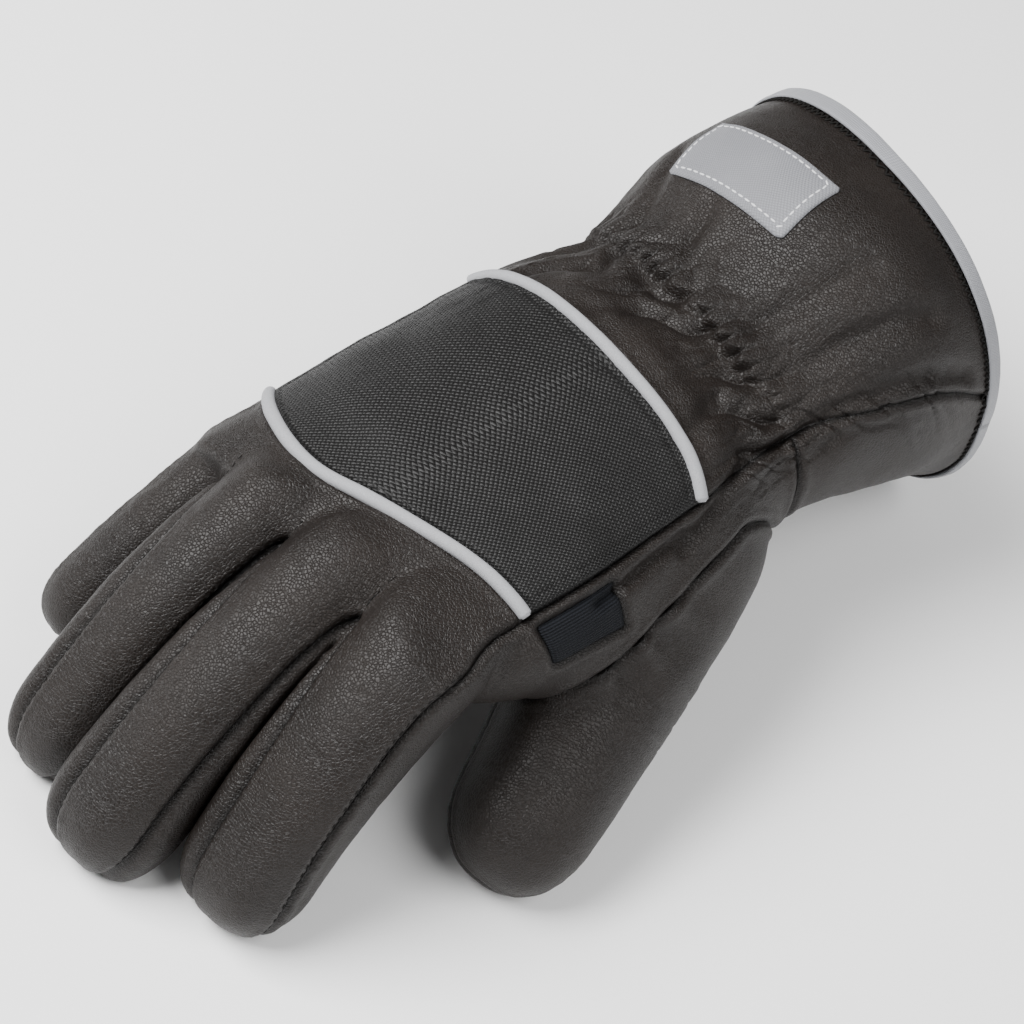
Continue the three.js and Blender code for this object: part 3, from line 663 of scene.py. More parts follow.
def drawn_taut(verts, tris, edges):
    """The leather drawn taut over the valleys, with a finer mesh at the gathers."""
    c = coordinates(verts)
    for weight in (root_weight(c), fork_weight(c), fork_weight(c)):
        verts = spanned(verts, tris, edges, weight)
    y, angle, off = c["body"]
    at_gathers = (np.abs(y) < GATHERS_REACH) & (angle > 18) & (angle < 170) & (off < 6)
    return refined(verts, tris, at_gathers & (c["thumb"][2] > 2))


base_verts, base_tris = drawn_taut(base_verts, base_tris, base_edges)
base_edges = edges_of(base_tris)
base_normals = unit(averaged(vertex_normals(base_verts, base_tris), base_edges, 2))

# The order of the cuts. The thumb's rest is thumb_front, and what is left at the end is palm_panel.
CUTS = [
    "rim", "thumb", "thumb_back", "gusset_little_ring", "gusset_ring_middle", "gusset_middle_index",
    "knuckle_guard", "back_panel", "cuff_back", "cuff_palm", "thumb_crotch_patch",
]
CUFF_FROM = 50
LIMIT = 20.0
THUMB_SEAM_RAISED = 6.0
RAISED_FROM = (-0.6, -0.38)
GUSSET_START = -0.02
BACK_START = -0.25
LITTLE_BACK_START = -0.08
THUMB_BACK_START = -0.18
BLEND = 0.8


def blended(weights, fields):
    """The parts' own fields joined softly, by how near each part is."""
    total = 0
    for name, weight in weights.items():
        total = total + weight * np.clip(fields.get(name, -LIMIT), -LIMIT, LIMIT)
    return total


def region_fields(points):
    """For each panel, how far inside it each point is, in millimetres, less than 0 outside."""
    c = coordinates(points)
    off = {name: c[name][2] for name in c}
    hand = [name for name in c if name != "thumb"]
    least = np.min([off[name] for name in hand], 0)
    weights = {name: np.exp(-np.clip(off[name] - least, 0, 40) / BLEND) for name in hand}
    total = sum(weights.values())
    weights = {name: weight / total for name, weight in weights.items()}
    y, angle, _ = c["body"]
    fields = {"rim": np.where(y > CUFF_FROM, RIM_Y - y, LIMIT)}
    raised = smoothstep(-20, 0, angle) * (1 - smoothstep(60, 80, angle))
    raised = raised * (1 - smoothstep(0.15, 0.4, c["thumb"][0]))
    raised *= 1 - smoothstep(*place(RAISED_FROM), y)
    fields["thumb"] = least - off["thumb"] + THUMB_SEAM_RAISED * raised
    t, a, _ = c["thumb"]
    wide = np.radians(1) * thumb.half_sizes(t)[0]
    fields["thumb_back"] = lowest(between_ends(a, THUMB_SEAMS, wide), (t - THUMB_BACK_START) * THUMB_LENGTH)

    def side_wall(name, seam, top):
        """How far inside the side wall of a finger each point is. The top is +1 or -1 round it."""
        t, a, _ = c[name]
        wide = np.radians(1) * fingers[name].half_sizes(t)[0]
        palm = PALM_SEAMS[0] if top > 0 else PALM_SEAMS[1]
        upper = (between(SEAM_PLACES, seam, t) - a) * top
        return lowest(upper * wide, (a - palm) * top * wide, (t - GUSSET_START) * fingers[name].length)

    names = list(fingers)
    for left, right in zip(names, names[1:]):
        inner = side_wall(left, THUMB_SIDE_SEAM, 1)
        outer = side_wall(right, LITTLE_SIDE_SEAM, -1)
        walls = {left: inner, right: outer, "body": np.minimum(inner, outer)}
        fields[f"gusset_{left}_{right}"] = blended(weights, walls)
    ahead = line_at(FRONT_LINE, angle) - y
    behind = y - line_at(REAR_LINE, angle)
    back = {"body": lowest((angle - GUARD_ANGLES[0]) * ARC, (outer_seam(y) - angle) * ARC, ahead)}
    for name, digit in fingers.items():
        t, a, _ = c[name]
        wide = np.radians(1) * digit.half_sizes(t)[0]
        low = between(SEAM_PLACES, INDEX_OUTER_SEAM, t) if name == "index" else 0
        high = LITTLE_OUTER_SEAM if name == "little" else 180
        start = LITTLE_BACK_START if name == "little" else BACK_START
        back[name] = lowest(between_ends(a, (low, high), wide), (t - start) * digit.length + 0.5)
    fields["back_panel"] = blended(weights, back)
    fields["knuckle_guard"] = lowest(between_ends(angle, GUARD_ANGLES, ARC), -ahead, -behind)
    fields["cuff_back"] = lowest(between_ends(angle, (side_seam(y), GUARD_ANGLES[1]), ARC), behind)
    fields["cuff_palm"] = y - float(place(PALM_SPLIT_AT))
    patch = lowest(between_ends(angle, PATCH_ANGLES, ARC), between_ends(y, place(PATCH_ENDS[::-1]), 1))
    fields["thumb_crotch_patch"] = blended(weights, {"body": patch})
    return fields


def cut_panels(verts, normals, tris):
    """Each panel's own triangles, cut exactly along its seams."""
    fields = region_fields(verts)
    data = np.hstack([verts, normals, *[fields[name][:, None] for name in CUTS]])
    column = {name: 6 + k for k, name in enumerate(CUTS)}

    def divide(data, tris, name):
        data, tris = split(data, tris, column[name])
        inside = data[tris, column[name]].sum(1) > 0
        return data, tris[inside], tris[~inside]

    panels = {}
    data, rest, _ = divide(data, tris, "rim")
    data, on_thumb, rest = divide(data, rest, "thumb")
    data, panels["thumb_back"], panels["thumb_front"] = divide(data, on_thumb, "thumb_back")
    for name in CUTS[3:]:
        data, panels[name], rest = divide(data, rest, name)
    panels["palm_panel"] = rest
    return {name: compact(data[:, :6], biggest(faces, len(data))) for name, faces in panels.items()}


panels = cut_panels(base_verts, base_normals, base_tris)


# Relief of the leather, in millimetres over the smooth hand
WALL = 2.2
GROOVE_DEPTH = 0.95
GROOVE_WIDTH = 1.5
ROLL_HEIGHT = 0.38
ROLL_AT = 2.5
ROLL_SPREAD = 1.2
SEAM_LEVELS = (0.45, 1.0, 1.7, 2.6, 3.6)
SEAM_OPENING = 0.1
GATHER_PITCH = 17
PUCKER_PITCH = 5.9
PUCKER_HEIGHT = 2.4
PUCKER_LENGTH = 10.5
PUCKER_SLANT = 0.06
TOOTH_LENGTH = 2.4
BROAD_BEHIND = 1.1
BROAD_AHEAD = 3.0
GUARD_STEP = 0.7
FORK_AT = -0.6
FORK_ANGLE = 22
FORK_FOLDS = 15
FORK_REACH = 31.0
FORK_HEIGHT = 1.7


def fold_height(y, angle):
    height = 0
    for at, degrees, to_at, to_degrees, spread, depth in FOLDS:
        start = np.array([float(place(at)), degrees * ARC])
        run = np.array([float(place(to_at)), to_degrees * ARC]) - start
        off = np.stack([y - start[0], angle * ARC - start[1]], -1)
        t = np.clip((off @ run) / (run @ run), 0, 1)
        distance = np.linalg.norm(off - t[..., None] * run, axis=-1)
        height = height + depth * WRIST_HEIGHT * bell(distance, spread * WRIST_HEIGHT)
    return height


def ruffle_height(y, angle):
    """Puckers behind the elastic, with a saw-toothed edge on it, and broad folds on both sides."""
    across = smoothstep(20, 34, angle) * (1 - smoothstep(150, 168, angle))
    drift = 0.42 * noise(np.stack([y / 14, angle / 16, 0 * y], -1), 3)
    broad = np.abs(np.sin(np.pi * (angle / GATHER_PITCH + 0.03 * y + drift))) ** 0.8
    around = np.stack([0 * y, angle, 0 * y], -1)
    phase = angle / PUCKER_PITCH + 0.6 * noise(around / 13, 7) + PUCKER_SLANT * y
    size = (1.0 + 0.7 * noise(around / 15, 5)) * (1.25 - 0.5 * smoothstep(60, 130, angle))
    tooth = np.abs(np.sin(np.pi * phase))
    line = y + 3.0 * noise(around / 24, 9) + TOOTH_LENGTH * (tooth - 0.5)
    rise = smoothstep(-1.2, 3.0, line) * bell(np.clip(line, 0, None), PUCKER_LENGTH)
    pucker = PUCKER_HEIGHT * rise * (0.55 + 0.45 * tooth ** 0.7)
    ahead = 0.7 * (1 - smoothstep(-9.0, -1.0, line)) * bell(line, 11.0) * tooth
    waist = -0.5 * bell(line, 9.0)
    wide = np.where(y > 0, BROAD_BEHIND * bell(y, 20.0), BROAD_AHEAD * bell(y, 20.0))
    return across * (size * (pucker + ahead) + waist + wide * (broad - 0.6))


def soft_creases(y, angle):
    """Fine creases that run along the glove on both sides of the gathers."""
    flat = np.stack([y / 24, angle * ARC / 5.2, 0 * y], -1)
    strength = bell(y + 6, 34.0) * smoothstep(8, 26, angle) * (1 - smoothstep(150, 175, angle))
    return 0.55 * strength * creases(flat, 11)


def side_wrinkles(y, angle):
    """Pinched wrinkles across the side seam of the cuff, a millimetre deep."""
    away = (angle - side_seam(y)) * ARC
    strength = bell(away, 13.0) * smoothstep(-32, -4, y) * (1 - smoothstep(34, 62, y))
    return strength * creases(np.stack([y / 4.6 + 0.1 * away, away / 17, 0 * y], -1), 23)


def fork_folds(points, angle):
    """Folds on the thumb's root that fan out from beside the knit patch."""
    middle = body_point(float(place(FORK_AT)), FORK_ANGLE)
    far = np.linalg.norm(points - middle, axis=1)
    side = angle - FORK_ANGLE
    along = points[:, 1] - middle[1]
    fan = np.arctan2(side * ARC, np.maximum(np.abs(along), 0.5) * np.sign(along))
    wave = np.cos(fan * FORK_FOLDS + 0.8 * noise(points / 12, 71))
    held = smoothstep(1.5, 9.0, far) * bell(far, FORK_REACH) * smoothstep(-62, -36, side)
    return FORK_HEIGHT * wave * held


def relief(name, points, c, seam):
    """How far each point stands off the smooth hand: folds, puckers and soft waves."""
    y, angle, off = c["body"]
    on_body = 1 - smoothstep(1.0, 6.0, np.maximum(off, 0))
    height = on_body * (
        fold_height(y, angle) + ruffle_height(y, angle) + soft_creases(y, angle) + side_wrinkles(y, angle)
    )
    height = height + (0.16 + 0.3 * on_body) * noise(points / 15, 1)
    height = height + 0.1 * noise(points / 6.5, 2) + 0.04 * noise(points / 2.6, 4)
    if name in ("thumb_back", "thumb_front"):
        height = height + fork_folds(points, angle)
    if "gusset" in name:
        near = np.sort([c[finger_name][2] for finger_name in fingers], 0)[1]
        height = height + np.clip(0.5 * near - 0.1, 0, 2.6) * smoothstep(0, 5, seam)
    for digit_name, digit in digits.items():
        t, turn, off = c[digit_name]
        on_digit = 1 - smoothstep(0.5, 2.5, np.maximum(off, 0))
        along = t * digit.length
        flat = np.stack([along / 6.5, turn / 75, 0 * t + len(digit_name)], -1)
        bend = bell(t - 0.42, 0.2) * (0.7 if digit_name in ("little", "thumb") else 0.15)
        height = height + on_digit * 0.5 * bend * creases(flat, 31)
        wave = np.sin(2 * np.pi * (along / 5.2 + 0.7 * noise(in_line(along / 9), 8)))
        height = height + on_digit * 0.07 * wave * bell(seam - 2.0, 1.8)
    return height


def seam_profile(seam):
    """A groove at the panel's sewn edge with a soft roll beside it."""
    groove = -GROOVE_DEPTH * (1 - smoothstep(0, GROOVE_WIDTH, seam))
    return groove + ROLL_HEIGHT * bell(seam - ROLL_AT, ROLL_SPREAD)


def seam_distance(verts, edge):
    """Each point's distance to the panel's sewn edge."""
    a, b = verts[edge[:, 0]], verts[edge[:, 1]]
    rim = (a[:, 1] > CUFF_FROM) & (np.abs(body_place(a)[0] - RIM_Y) < 0.3)
    a, b = a[~rim], b[~rim]
    samples = np.vstack([a, 0.5 * (a + b), 0.75 * a + 0.25 * b, 0.25 * a + 0.75 * b])
    tree = KDTree(len(samples))
    for i, point in enumerate(samples):
        tree.insert(point, i)
    tree.balance()
    return np.array([tree.find(point)[2] for point in verts])


def shell(outer, inner, tris):
    """The closed solid between an outer and an inner face that have the same triangles."""
    a, b = border(tris).T
    total = len(outer)
    sides = np.vstack([np.stack([b, a, a + total], -1), np.stack([b, a + total, b + total], -1)])
    return np.vstack([outer, inner]), np.vstack([tris, tris[:, ::-1] + total, sides])


def pull_at_seam(verts, normals, tris):
    """A step into the panel for each point of its cut edge, which opens the seam."""
    pull = np.zeros_like(verts)
    count = np.zeros(len(verts))
    on_edge = np.zeros(len(verts), bool)
    on_edge[border(tris).ravel()] = True
    pairs = edges_of(tris)
    for a, b in ((0, 1), (1, 0)):
        chosen = on_edge[pairs[:, a]] & ~on_edge[pairs[:, b]]
        here, there = pairs[chosen, a], pairs[chosen, b]
        for axis in range(3):
            step = verts[there, axis] - verts[here, axis]
            pull[:, axis] += np.bincount(here, step, len(verts))
        count += np.bincount(here, minlength=len(verts))
    pull -= normals * (pull * normals).sum(1, keepdims=True)
    return unit(pull) * SEAM_OPENING * (count > 0)[:, None]


# How much of the folds is left where the glove lies on the floor, and on the inner face
FOLDS_ON_FLOOR = 0.35
FOLDS_INSIDE = 0.75
INNER_CLEARANCE = 0.6


def panel_solid(name, data, tris, lift=0.0, profile=seam_profile):
    """A panel's closed solid: its outer face with the relief, its inner face and its cut edge."""
    seam = seam_distance(data[:, :3], border(tris))
    data = np.hstack([data, seam[:, None], np.zeros((len(data), 1))])
    for level in SEAM_LEVELS:
        data[:, 7] = data[:, 6] - level
        data, tris = split(data, tris, 7, 0.05)
    data, tris = compact(data, tris)
    verts, normals, seam = data[:, :3], unit(data[:, 3:6]), data[:, 6]
    c = coordinates(verts)
    soft = relief(name, verts, c, seam)
    on_floor = smoothstep(0.0, 5.0, verts[:, 2])
    height = soft * (FOLDS_ON_FLOOR + (1 - FOLDS_ON_FLOOR) * on_floor)
    height = height + profile(seam) + lift * smoothstep(0, 0.9, seam)
    pull = pull_at_seam(verts, normals, tris)
    outer = verts + normals * height[:, None] + pull
    inner = verts + normals * (FOLDS_INSIDE * soft - WALL)[:, None] + pull
    outer[:, 2] = np.maximum(outer[:, 2], 0.0)
    inner[:, 2] = np.maximum(inner[:, 2], INNER_CLEARANCE)
    y, angle, _ = c["body"]
    cloth = np.stack([angle * ARC, y, 0 * y], -1)
    obj = piece_object(name, *shell(outer, inner, tris))
    set_attribute(obj, "cloth", np.vstack([cloth, cloth]) / 1000)
    set_attribute(obj, "seam", np.concatenate([seam, seam]))
    return obj, outer, tris


def piece_object(name, verts, faces):
    """A smooth-shaded object in metres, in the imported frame."""
    obj = new_object(f"{name}_sewn", (np.asarray(verts) + SHIFT) / 1000, faces)
    obj.data.polygons.foreach_set("use_smooth", np.ones(len(obj.data.polygons), bool))
    return obj


def set_attribute(obj, name, values):
    values = np.asarray(values, np.float32)
    kind, key = ("FLOAT_VECTOR", "vector") if values.ndim == 2 else ("FLOAT", "value")
    layer = obj.data.attributes.new(name, kind, "POINT")
    layer.data.foreach_set(key, values.ravel())


def cloth_grid(rows, columns):
    """Cloth coordinates for a grid of points."""
    return np.stack(np.broadcast_arrays(rows[:, None], columns[None, :], 0.0), -1).reshape(-1, 3)


def travelled(path):
    """How far along a path each of its points is."""
    return np.concatenate([[0], np.cumsum(np.linalg.norm(np.diff(path, axis=0), axis=1))])


def tangents(path, loop):
    if loop:
        return unit(np.roll(path, -1, 0) - np.roll(path, 1, 0))
    return unit(np.gradient(path, axis=0))


def ring_faces(rows, count):
    """The triangles between rings of points, where the last ring joins the first."""
    i, j = (k.ravel() for k in np.meshgrid(np.arange(rows), np.arange(count), indexing="ij"))
    here, ahead, beside = i * count, (i + 1) % rows * count, (j + 1) % count
    a, b, c, d = here + j, here + beside, ahead + beside, ahead + j
    return np.vstack([np.stack([a, b, c], -1), np.stack([a, c, d], -1)])


def ring_tube(centres, ups, radii, sides=12, loop=False, flat=1.0):
    """A tube round a path, with a way up at each point. An open one ends in flat caps."""
    tangent = tangents(centres, loop)
    up = unit(ups - tangent * (ups * tangent).sum(1, keepdims=True))
    across = np.cross(tangent, up)
    turn = np.linspace(0, 2 * np.pi, sides + 1)[:-1, None]
    radii = np.broadcast_to(np.asarray(radii, float), len(centres))
    spin = up[:, None] * (flat * np.cos(turn)) + across[:, None] * np.sin(turn)
    rings = centres[:, None] + spin * radii[:, None, None]
    if not loop:
        return grid_mesh(rings)
    return rings.reshape(-1, 3), ring_faces(*rings.shape[:2])


def outward(verts, tris):
    """The same mesh with its faces turned outwards."""
    a, b, c = (verts[tris[:, k]] for k in range(3))
    volume = (a * np.cross(b, c)).sum()
    return verts, tris if volume > 0 else tris[:, ::-1]


class Surface:
    """The finished outer faces, for laying trim on them."""

    def __init__(self, meshes):
        verts, tris = stacked(meshes)
        self.tree = BVHTree.FromPolygons(verts.tolist(), tris.tolist())

    def near(self, points):
        found = [self.tree.find_nearest(Vector(point)) for point in points]
        return np.array([f[0] for f in found]), unit(np.array([f[1] for f in found]))


def evenly(path, step, loop=False):
    """Points along a path at even steps."""
    path = closed(path) if loop else path
    far = travelled(path)
    count = max(2, int(round(far[-1] / step)))
    at = np.linspace(0, far[-1], count + 1)
    if loop:
        at = at[:-1]
    return np.stack([np.interp(at, far, path[:, k]) for k in range(3)], -1)


STITCH_BEND = np.linspace(-1, 1, 7)[:, None]
STITCH_DIP = 2.2


def stitch_row(surface, path, pitch, length, radius, rise=0.12, loop=False):
    """Short sewn threads along a path, each bent down into the leather at both ends."""
    spots, normals = surface.near(evenly(path, pitch, loop))
    fat = np.sqrt(np.maximum(1 - np.abs(STITCH_BEND[:, 0]) ** 3, 0.05))
    lifts = rise * (1 - STITCH_DIP * STITCH_BEND ** 4)
    made = []
    for spot, normal, along in zip(spots, normals, tangents(spots, loop)):
        line = spot + along * (STITCH_BEND * length / 2) + normal * lifts
        made.append(outward(*ring_tube(line, np.tile(normal, (7, 1)), radius * fat, sides=6)))
    return stacked(made)


# Materials
class Look:
    """A material, with short ways to add its nodes and to set or link their inputs."""

    def __init__(self, name):
        self.material = bpy.data.materials.new(name)
        self.material.use_nodes = True
        self.tree = self.material.node_tree
        self.shader = self.tree.nodes["Principled BSDF"]

    def add(self, kind, inputs, **settings):
        node = self.tree.nodes.new(f"ShaderNode{kind}")
        for key, value in settings.items():
            setattr(node, key, value)
        self.put(node, inputs)
        return node

    def put(self, node, inputs):
        for key, value in inputs.items():
            if isinstance(value, bpy.types.NodeSocket):
                self.tree.links.new(value, node.inputs[key])
            else:
                node.inputs[key].default_value = value

    def finish(self, inputs):
        self.put(self.shader, inputs)
        return self.material

    def ramp(self, source, stops):
        """Colours or greys along a value."""
        node = self.add("ValToRGB", {"Fac": source})
        elements = node.color_ramp.elements
        while len(elements) > len(stops):
            elements.remove(elements[-1])
        while len(elements) < len(stops):
            elements.new(1.0)
        for element, (at, colour) in zip(elements, stops):
            element.position = at
            element.color = (*colour, 1) if isinstance(colour, tuple) else (colour, colour, colour, 1)
        return node.outputs["Color"]

    def maths(self, operation, *values, clamp=False):
        return self.add("Math", dict(enumerate(values)), operation=operation, use_clamp=clamp).outputs[0]

    def wave(self, value, times):
        """The size of a sine, which is 0 at each whole step."""
        turned = self.maths("MULTIPLY", value, times * math.pi)
        return self.maths("ABSOLUTE", self.maths("SINE", turned))

    def blend(self, *parts):
        """The sum of values, each times its share."""
        total = None
        for value, share in parts:
            part = self.maths("MULTIPLY", value, share)
            total = part if total is None else self.maths("ADD", total, part)
        return total

    def noise(self, vector, scale, detail=3.0, rough=0.5, output="Fac"):
        inputs = {"Vector": vector, "Scale": scale, "Detail": detail, "Roughness": rough}
        return self.add("TexNoise", inputs).outputs[output]

    def warped(self, vector, drift, amount):
        """A vector that a drifting noise moves about."""
        return self.add("VectorMath", {0: drift, 1: amount, 2: vector}, operation="MULTIPLY_ADD").outputs[0]

    def multiplied(self, colour, shade, share=1.0):
        inputs = {"Factor": share, "A": colour, "B": shade}
        return self.add("Mix", inputs, data_type="RGBA", blend_type="MULTIPLY").outputs["Result"]

    def bump(self, height, distance, strength, below=None):
        inputs = {"Height": height, "Distance": distance, "Strength": strength}
        if below is not None:
            inputs["Normal"] = below
        return self.add("Bump", inputs).outputs["Normal"]

    def object_vector(self):
        return self.add("TexCoord", {}).outputs["Object"]

    def attribute(self, name, output):
        return self.add("Attribute", {}, attribute_name=name).outputs[output]


def leather_material(name, dark, light):
    """Fine-grained leather, cloudy in colour and darker in its grain, with painted shade in the grooves of
    its seams.
    """
    look = Look(name)
    vector = look.object_vector()
    cloudy = look.noise(vector, 38, 4, 0.6)
    fine = look.noise(vector, 900, 4, 0.65)
    moved = look.warped(vector, look.noise(vector, 420, 2, output="Color"), (0.0009, 0.0009, 0.0009))
    cells = look.add("TexVoronoi", {"Vector": moved, "Scale": 1150}, feature="DISTANCE_TO_EDGE")
    cracks = look.ramp(cells.outputs["Distance"], [(0.0, 0.0), (0.16, 0.85), (0.4, 1.0)])
    # Painted shade: the colour darkens towards the sewn edge, down to 0.3 at the edge, over the 1.4 mm width
    # of the seam's groove.
    depth = look.maths("DIVIDE", look.attribute("seam", "Fac"), 1.4, clamp=True)
    shade = look.ramp(depth, [(0.0, 0.3), (0.7, 0.85), (1.0, 1.0)])
    colour = look.multiplied(look.ramp(cloudy, [(0.32, dark), (0.68, light)]), shade)
    soft = look.bump(look.noise(vector, 210, 3), 0.0012, 0.16)
    pebble = look.bump(cracks, 0.00025, 0.6, soft)
    return look.finish({
        "Base Color": look.multiplied(colour, cracks, 0.35),
        "Roughness": look.ramp(look.blend((cloudy, 0.6), (fine, 0.4)), [(0.3, 0.44), (0.7, 0.58)]),
        "Normal": look.bump(fine, 0.0002, 0.12, pebble),
        "Specular IOR Level": 0.3,
    })


def woven_material(name, dark, light, cell, rough, height, tilt, sheen, seam_shade=False):
    """A basket weave on the piece's own cloth coordinates, with painted shade along the sewn edge where
    seam_shade is set.
    """
    look = Look(name)
    cloth = look.attribute("cloth", "Vector")
    turn = {"Vector": cloth, "Rotation": (0, 0, math.radians(tilt)), "Scale": (1 / cell,) * 3}
    drift = look.noise(cloth, 160, 2, output="Color")
    grid = look.warped(look.add("Mapping", turn).outputs[0], drift, (0.55, 0.55, 0))
    checker = look.add("TexChecker", {"Vector": grid, "Scale": 1.0})
    parts = look.add("SeparateXYZ", {0: grid})
    threads = [look.wave(parts.outputs[axis], 1) for axis in ("X", "Y")]
    over = look.add("Mix", {"Factor": checker.outputs["Fac"], 2: threads[0], 3: threads[1]})
    weave = look.blend((over.outputs[0], 0.5), (look.maths("MULTIPLY", *threads), 0.7))
    fibre = look.noise(cloth, 2600, 3, 0.6)
    cloudy = look.noise(look.object_vector(), 45, 3, 0.6)
    mixed = look.blend((weave, 0.45), (fibre, 0.3), (cloudy, 0.35))
    colour = look.ramp(mixed, [(0.25, dark), (0.8, light)])
    # Painted shade: the colour darkens within about 3.3 mm of the sewn edge, under and beside the piping and
    # the pressed hem that lie along the guard's edge.
    if seam_shade:
        near = look.maths("DIVIDE", look.attribute("seam", "Fac"), 3.6, clamp=True)
        shade = look.ramp(near, [(0.0, 0.25), (0.55, 0.55), (0.86, 0.6), (0.93, 1.0)])
        colour = look.multiplied(colour, shade)
    return look.finish({
        "Base Color": colour,
        "Roughness": look.ramp(fibre, [(0.3, rough[0]), (0.7, rough[1])]),
        "Normal": look.bump(fibre, 0.0002, 0.3, look.bump(weave, height, 0.85)),
        "Specular IOR Level": 0.26,
        "Sheen Weight": sheen,
        "Sheen Roughness": 0.5,
    })


def knit_material(name, dark, light):
    """Ribs across the cloth, with slanted loops on them."""
    look = Look(name)
    cloth = look.attribute("cloth", "Vector")
    parts = look.add("SeparateXYZ", {0: cloth})
    rib = look.wave(parts.outputs["X"], 1 / 0.0016)
    slant = look.blend((rib, 1.4), (parts.outputs["Y"], math.pi / 0.0011))
    loops = look.maths("ABSOLUTE", look.maths("SINE", slant))
    height = look.blend((rib, 0.7), (loops, 0.35))
    mixed = look.blend((height, 0.7), (look.noise(cloth, 3200, 3), 0.3))
    return look.finish({
        "Base Color": look.ramp(mixed, [(0.2, dark), (0.9, light)]),
        "Normal": look.bump(height, 0.0006, 0.8),
        "Roughness": 0.85,
        "Specular IOR Level": 0.15,
        "Sheen Weight": 0.0,
    })


def thread_material(name, colour):
    """Fibrous thread in one colour."""
    look = Look(name)
    fibre = look.noise(look.object_vector(), 4200, 3)
    dark = tuple(0.7 * value for value in colour)
    return look.finish({
        "Base Color": look.ramp(fibre, [(0.3, dark), (0.7, colour)]),
        "Normal": look.bump(fibre, 0.0002, 0.6),
        "Roughness": 0.75,
        "Specular IOR Level": 0.15,
    })


leather = leather_material("leather", (0.0058, 0.0036, 0.0026), (0.0098, 0.0064, 0.0047))
guard_textile = woven_material(
    "guard_textile", (0.0016, 0.0014, 0.0013), (0.0052, 0.0048, 0.0047), 0.00105, (0.42, 0.58),
    height=0.0002, tilt=38, sheen=0.0, seam_shade=True,
)
tape = woven_material(
    "pale_tape", (0.16, 0.162, 0.176), (0.29, 0.295, 0.315), 0.00055, (0.42, 0.6),
    height=0.00012, tilt=0, sheen=0.1,
)
label_cloth = woven_material(
    "label_cloth", (0.115, 0.116, 0.126), (0.2, 0.203, 0.218), 0.0007, (0.4, 0.55),
    height=0.0001, tilt=30, sheen=0.1,
)
knit = knit_material("knit", (0.0015, 0.0018, 0.0024), (0.0085, 0.0095, 0.0125))
dark_thread = thread_material("dark_thread", (0.006, 0.0055, 0.005))
white_thread = thread_material("white_thread", (0.75, 0.75, 0.76))
pale_bead = thread_material("pale_bead", (0.33, 0.332, 0.345))


def finished(obj, mat, slot_name, *nodes):
    obj.data.materials.append(mat)
    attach(obj, "root")
    if nodes:
        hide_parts(*nodes)
    return obj


SUNK_EDGE = 0.8


def guard_profile(seam):
    """The guard's edge dips under the piping and has a pressed hem beside it."""
    hem = -0.28 * bell(seam - 3.3, 0.45)
    return -SUNK_EDGE * (1 - smoothstep(0, 1.0, seam)) + hem + 0.15 * bell(seam - 1.8, 1.0)


def patch_profile(seam):
    return -SUNK_EDGE * (1 - smoothstep(0, 1.6, seam)) - 0.15


OTHER_LOOKS = {
    "knuckle_guard": (guard_textile, "guard_textile", {"lift": GUARD_STEP, "profile": guard_profile}),
    "thumb_crotch_patch": (knit, "knit", {"profile": patch_profile}),
}
skins = []
for name, (data, tris) in panels.items():
    mat, slot_name, options = OTHER_LOOKS.get(name, (leather, "leather", {}))
    obj, *skin = panel_solid(name, data, tris, **options)
    finished(obj, mat, slot_name, name)
    skins.append(skin)
surface = Surface(skins)

# Trim
PIPING_STEPS = 150
PIPING_SIDES = 18
PIPING_RISE = 0.75


def piping(name, line):
    """A pale round bead along one of the guard's long edges."""
    angles = np.linspace(*GUARD_ANGLES, PIPING_STEPS)
    y = line_at(line, angles)
    inner = body_point(y, angles, 0.0)
    up = unit(body_point(y, angles, 2.0) - inner)
    wave = noise(in_line(angles / 9), 41)
    spots, _ = surface.near(inner + up * (PIPING_RISE + 0.1 * wave)[:, None])
    centres = inner + up * (0.5 * ((spots - inner) * up).sum(1) + PIPING_RISE)[:, None]
    padded = np.pad(centres, ((3, 3), (0, 0)), "edge")
    centres = np.stack([np.convolve(axis, np.ones(7) / 7, "valid") for axis in padded.T], -1)
    steps = np.arange(PIPING_STEPS)
    rounding = np.sqrt(np.clip(np.minimum(steps, steps[::-1]) / 2.0, 0.35, 1))
    radii = PIPING_RADIUS * (1 + 0.03 * wave) * rounding
    obj = piece_object(name, *outward(*ring_tube(centres, up, radii, PIPING_SIDES, flat=0.92)))
    turn = np.linspace(0, 2 * np.pi * PIPING_RADIUS, PIPING_SIDES + 1)[:-1]
    cloth = cloth_grid(travelled(centres), turn)
    set_attribute(obj, "cloth", np.vstack([cloth, cloth[:1], cloth[-1:]]) / 1000)
    return finished(obj, pale_bead, "reflective", name)


piping("front_piping", FRONT_LINE)
piping("rear_piping", REAR_LINE)

# Tape folded round the rim: the steps along the glove and off the leather of its closed outline
HEM_Y = RIM_Y - BINDING_WIDTH
OUTLINE = np.array([
    [HEM_Y + 0.2, 0.35], [HEM_Y, 0.75], [HEM_Y + 0.2, 1.15], [HEM_Y + 1.2, 1.35], [HEM_Y + 2.6, 1.3],
    [RIM_Y - 1.8, 1.3], [RIM_Y - 0.4, 1.3], [RIM_Y + 0.6, 0.95], [RIM_Y + 1.2, 0.1], [RIM_Y + 1.4, -1.2],
    [RIM_Y + 1.2, -2.5], [RIM_Y + 0.6, -3.4], [RIM_Y - 0.4, -3.85], [RIM_Y - 2.5, -3.9],
    [HEM_Y + 1.0, -3.9], [HEM_Y, -3.5], [HEM_Y, -3.1], [HEM_Y + 2.6, -2.95], [RIM_Y - 0.5, -2.9],
    [RIM_Y + 0.1, -2.3], [RIM_Y + 0.25, -1.2], [RIM_Y + 0.1, -0.1], [RIM_Y - 0.5, 0.3], [HEM_Y + 2.6, 0.3],
])
BINDING_STEPS = 300
OVERLOCK_STEPS = 330
OVERLOCK_SWING = (0.25, -2.1)
OVERLOCK_LIFT = (0.1, 0.35)


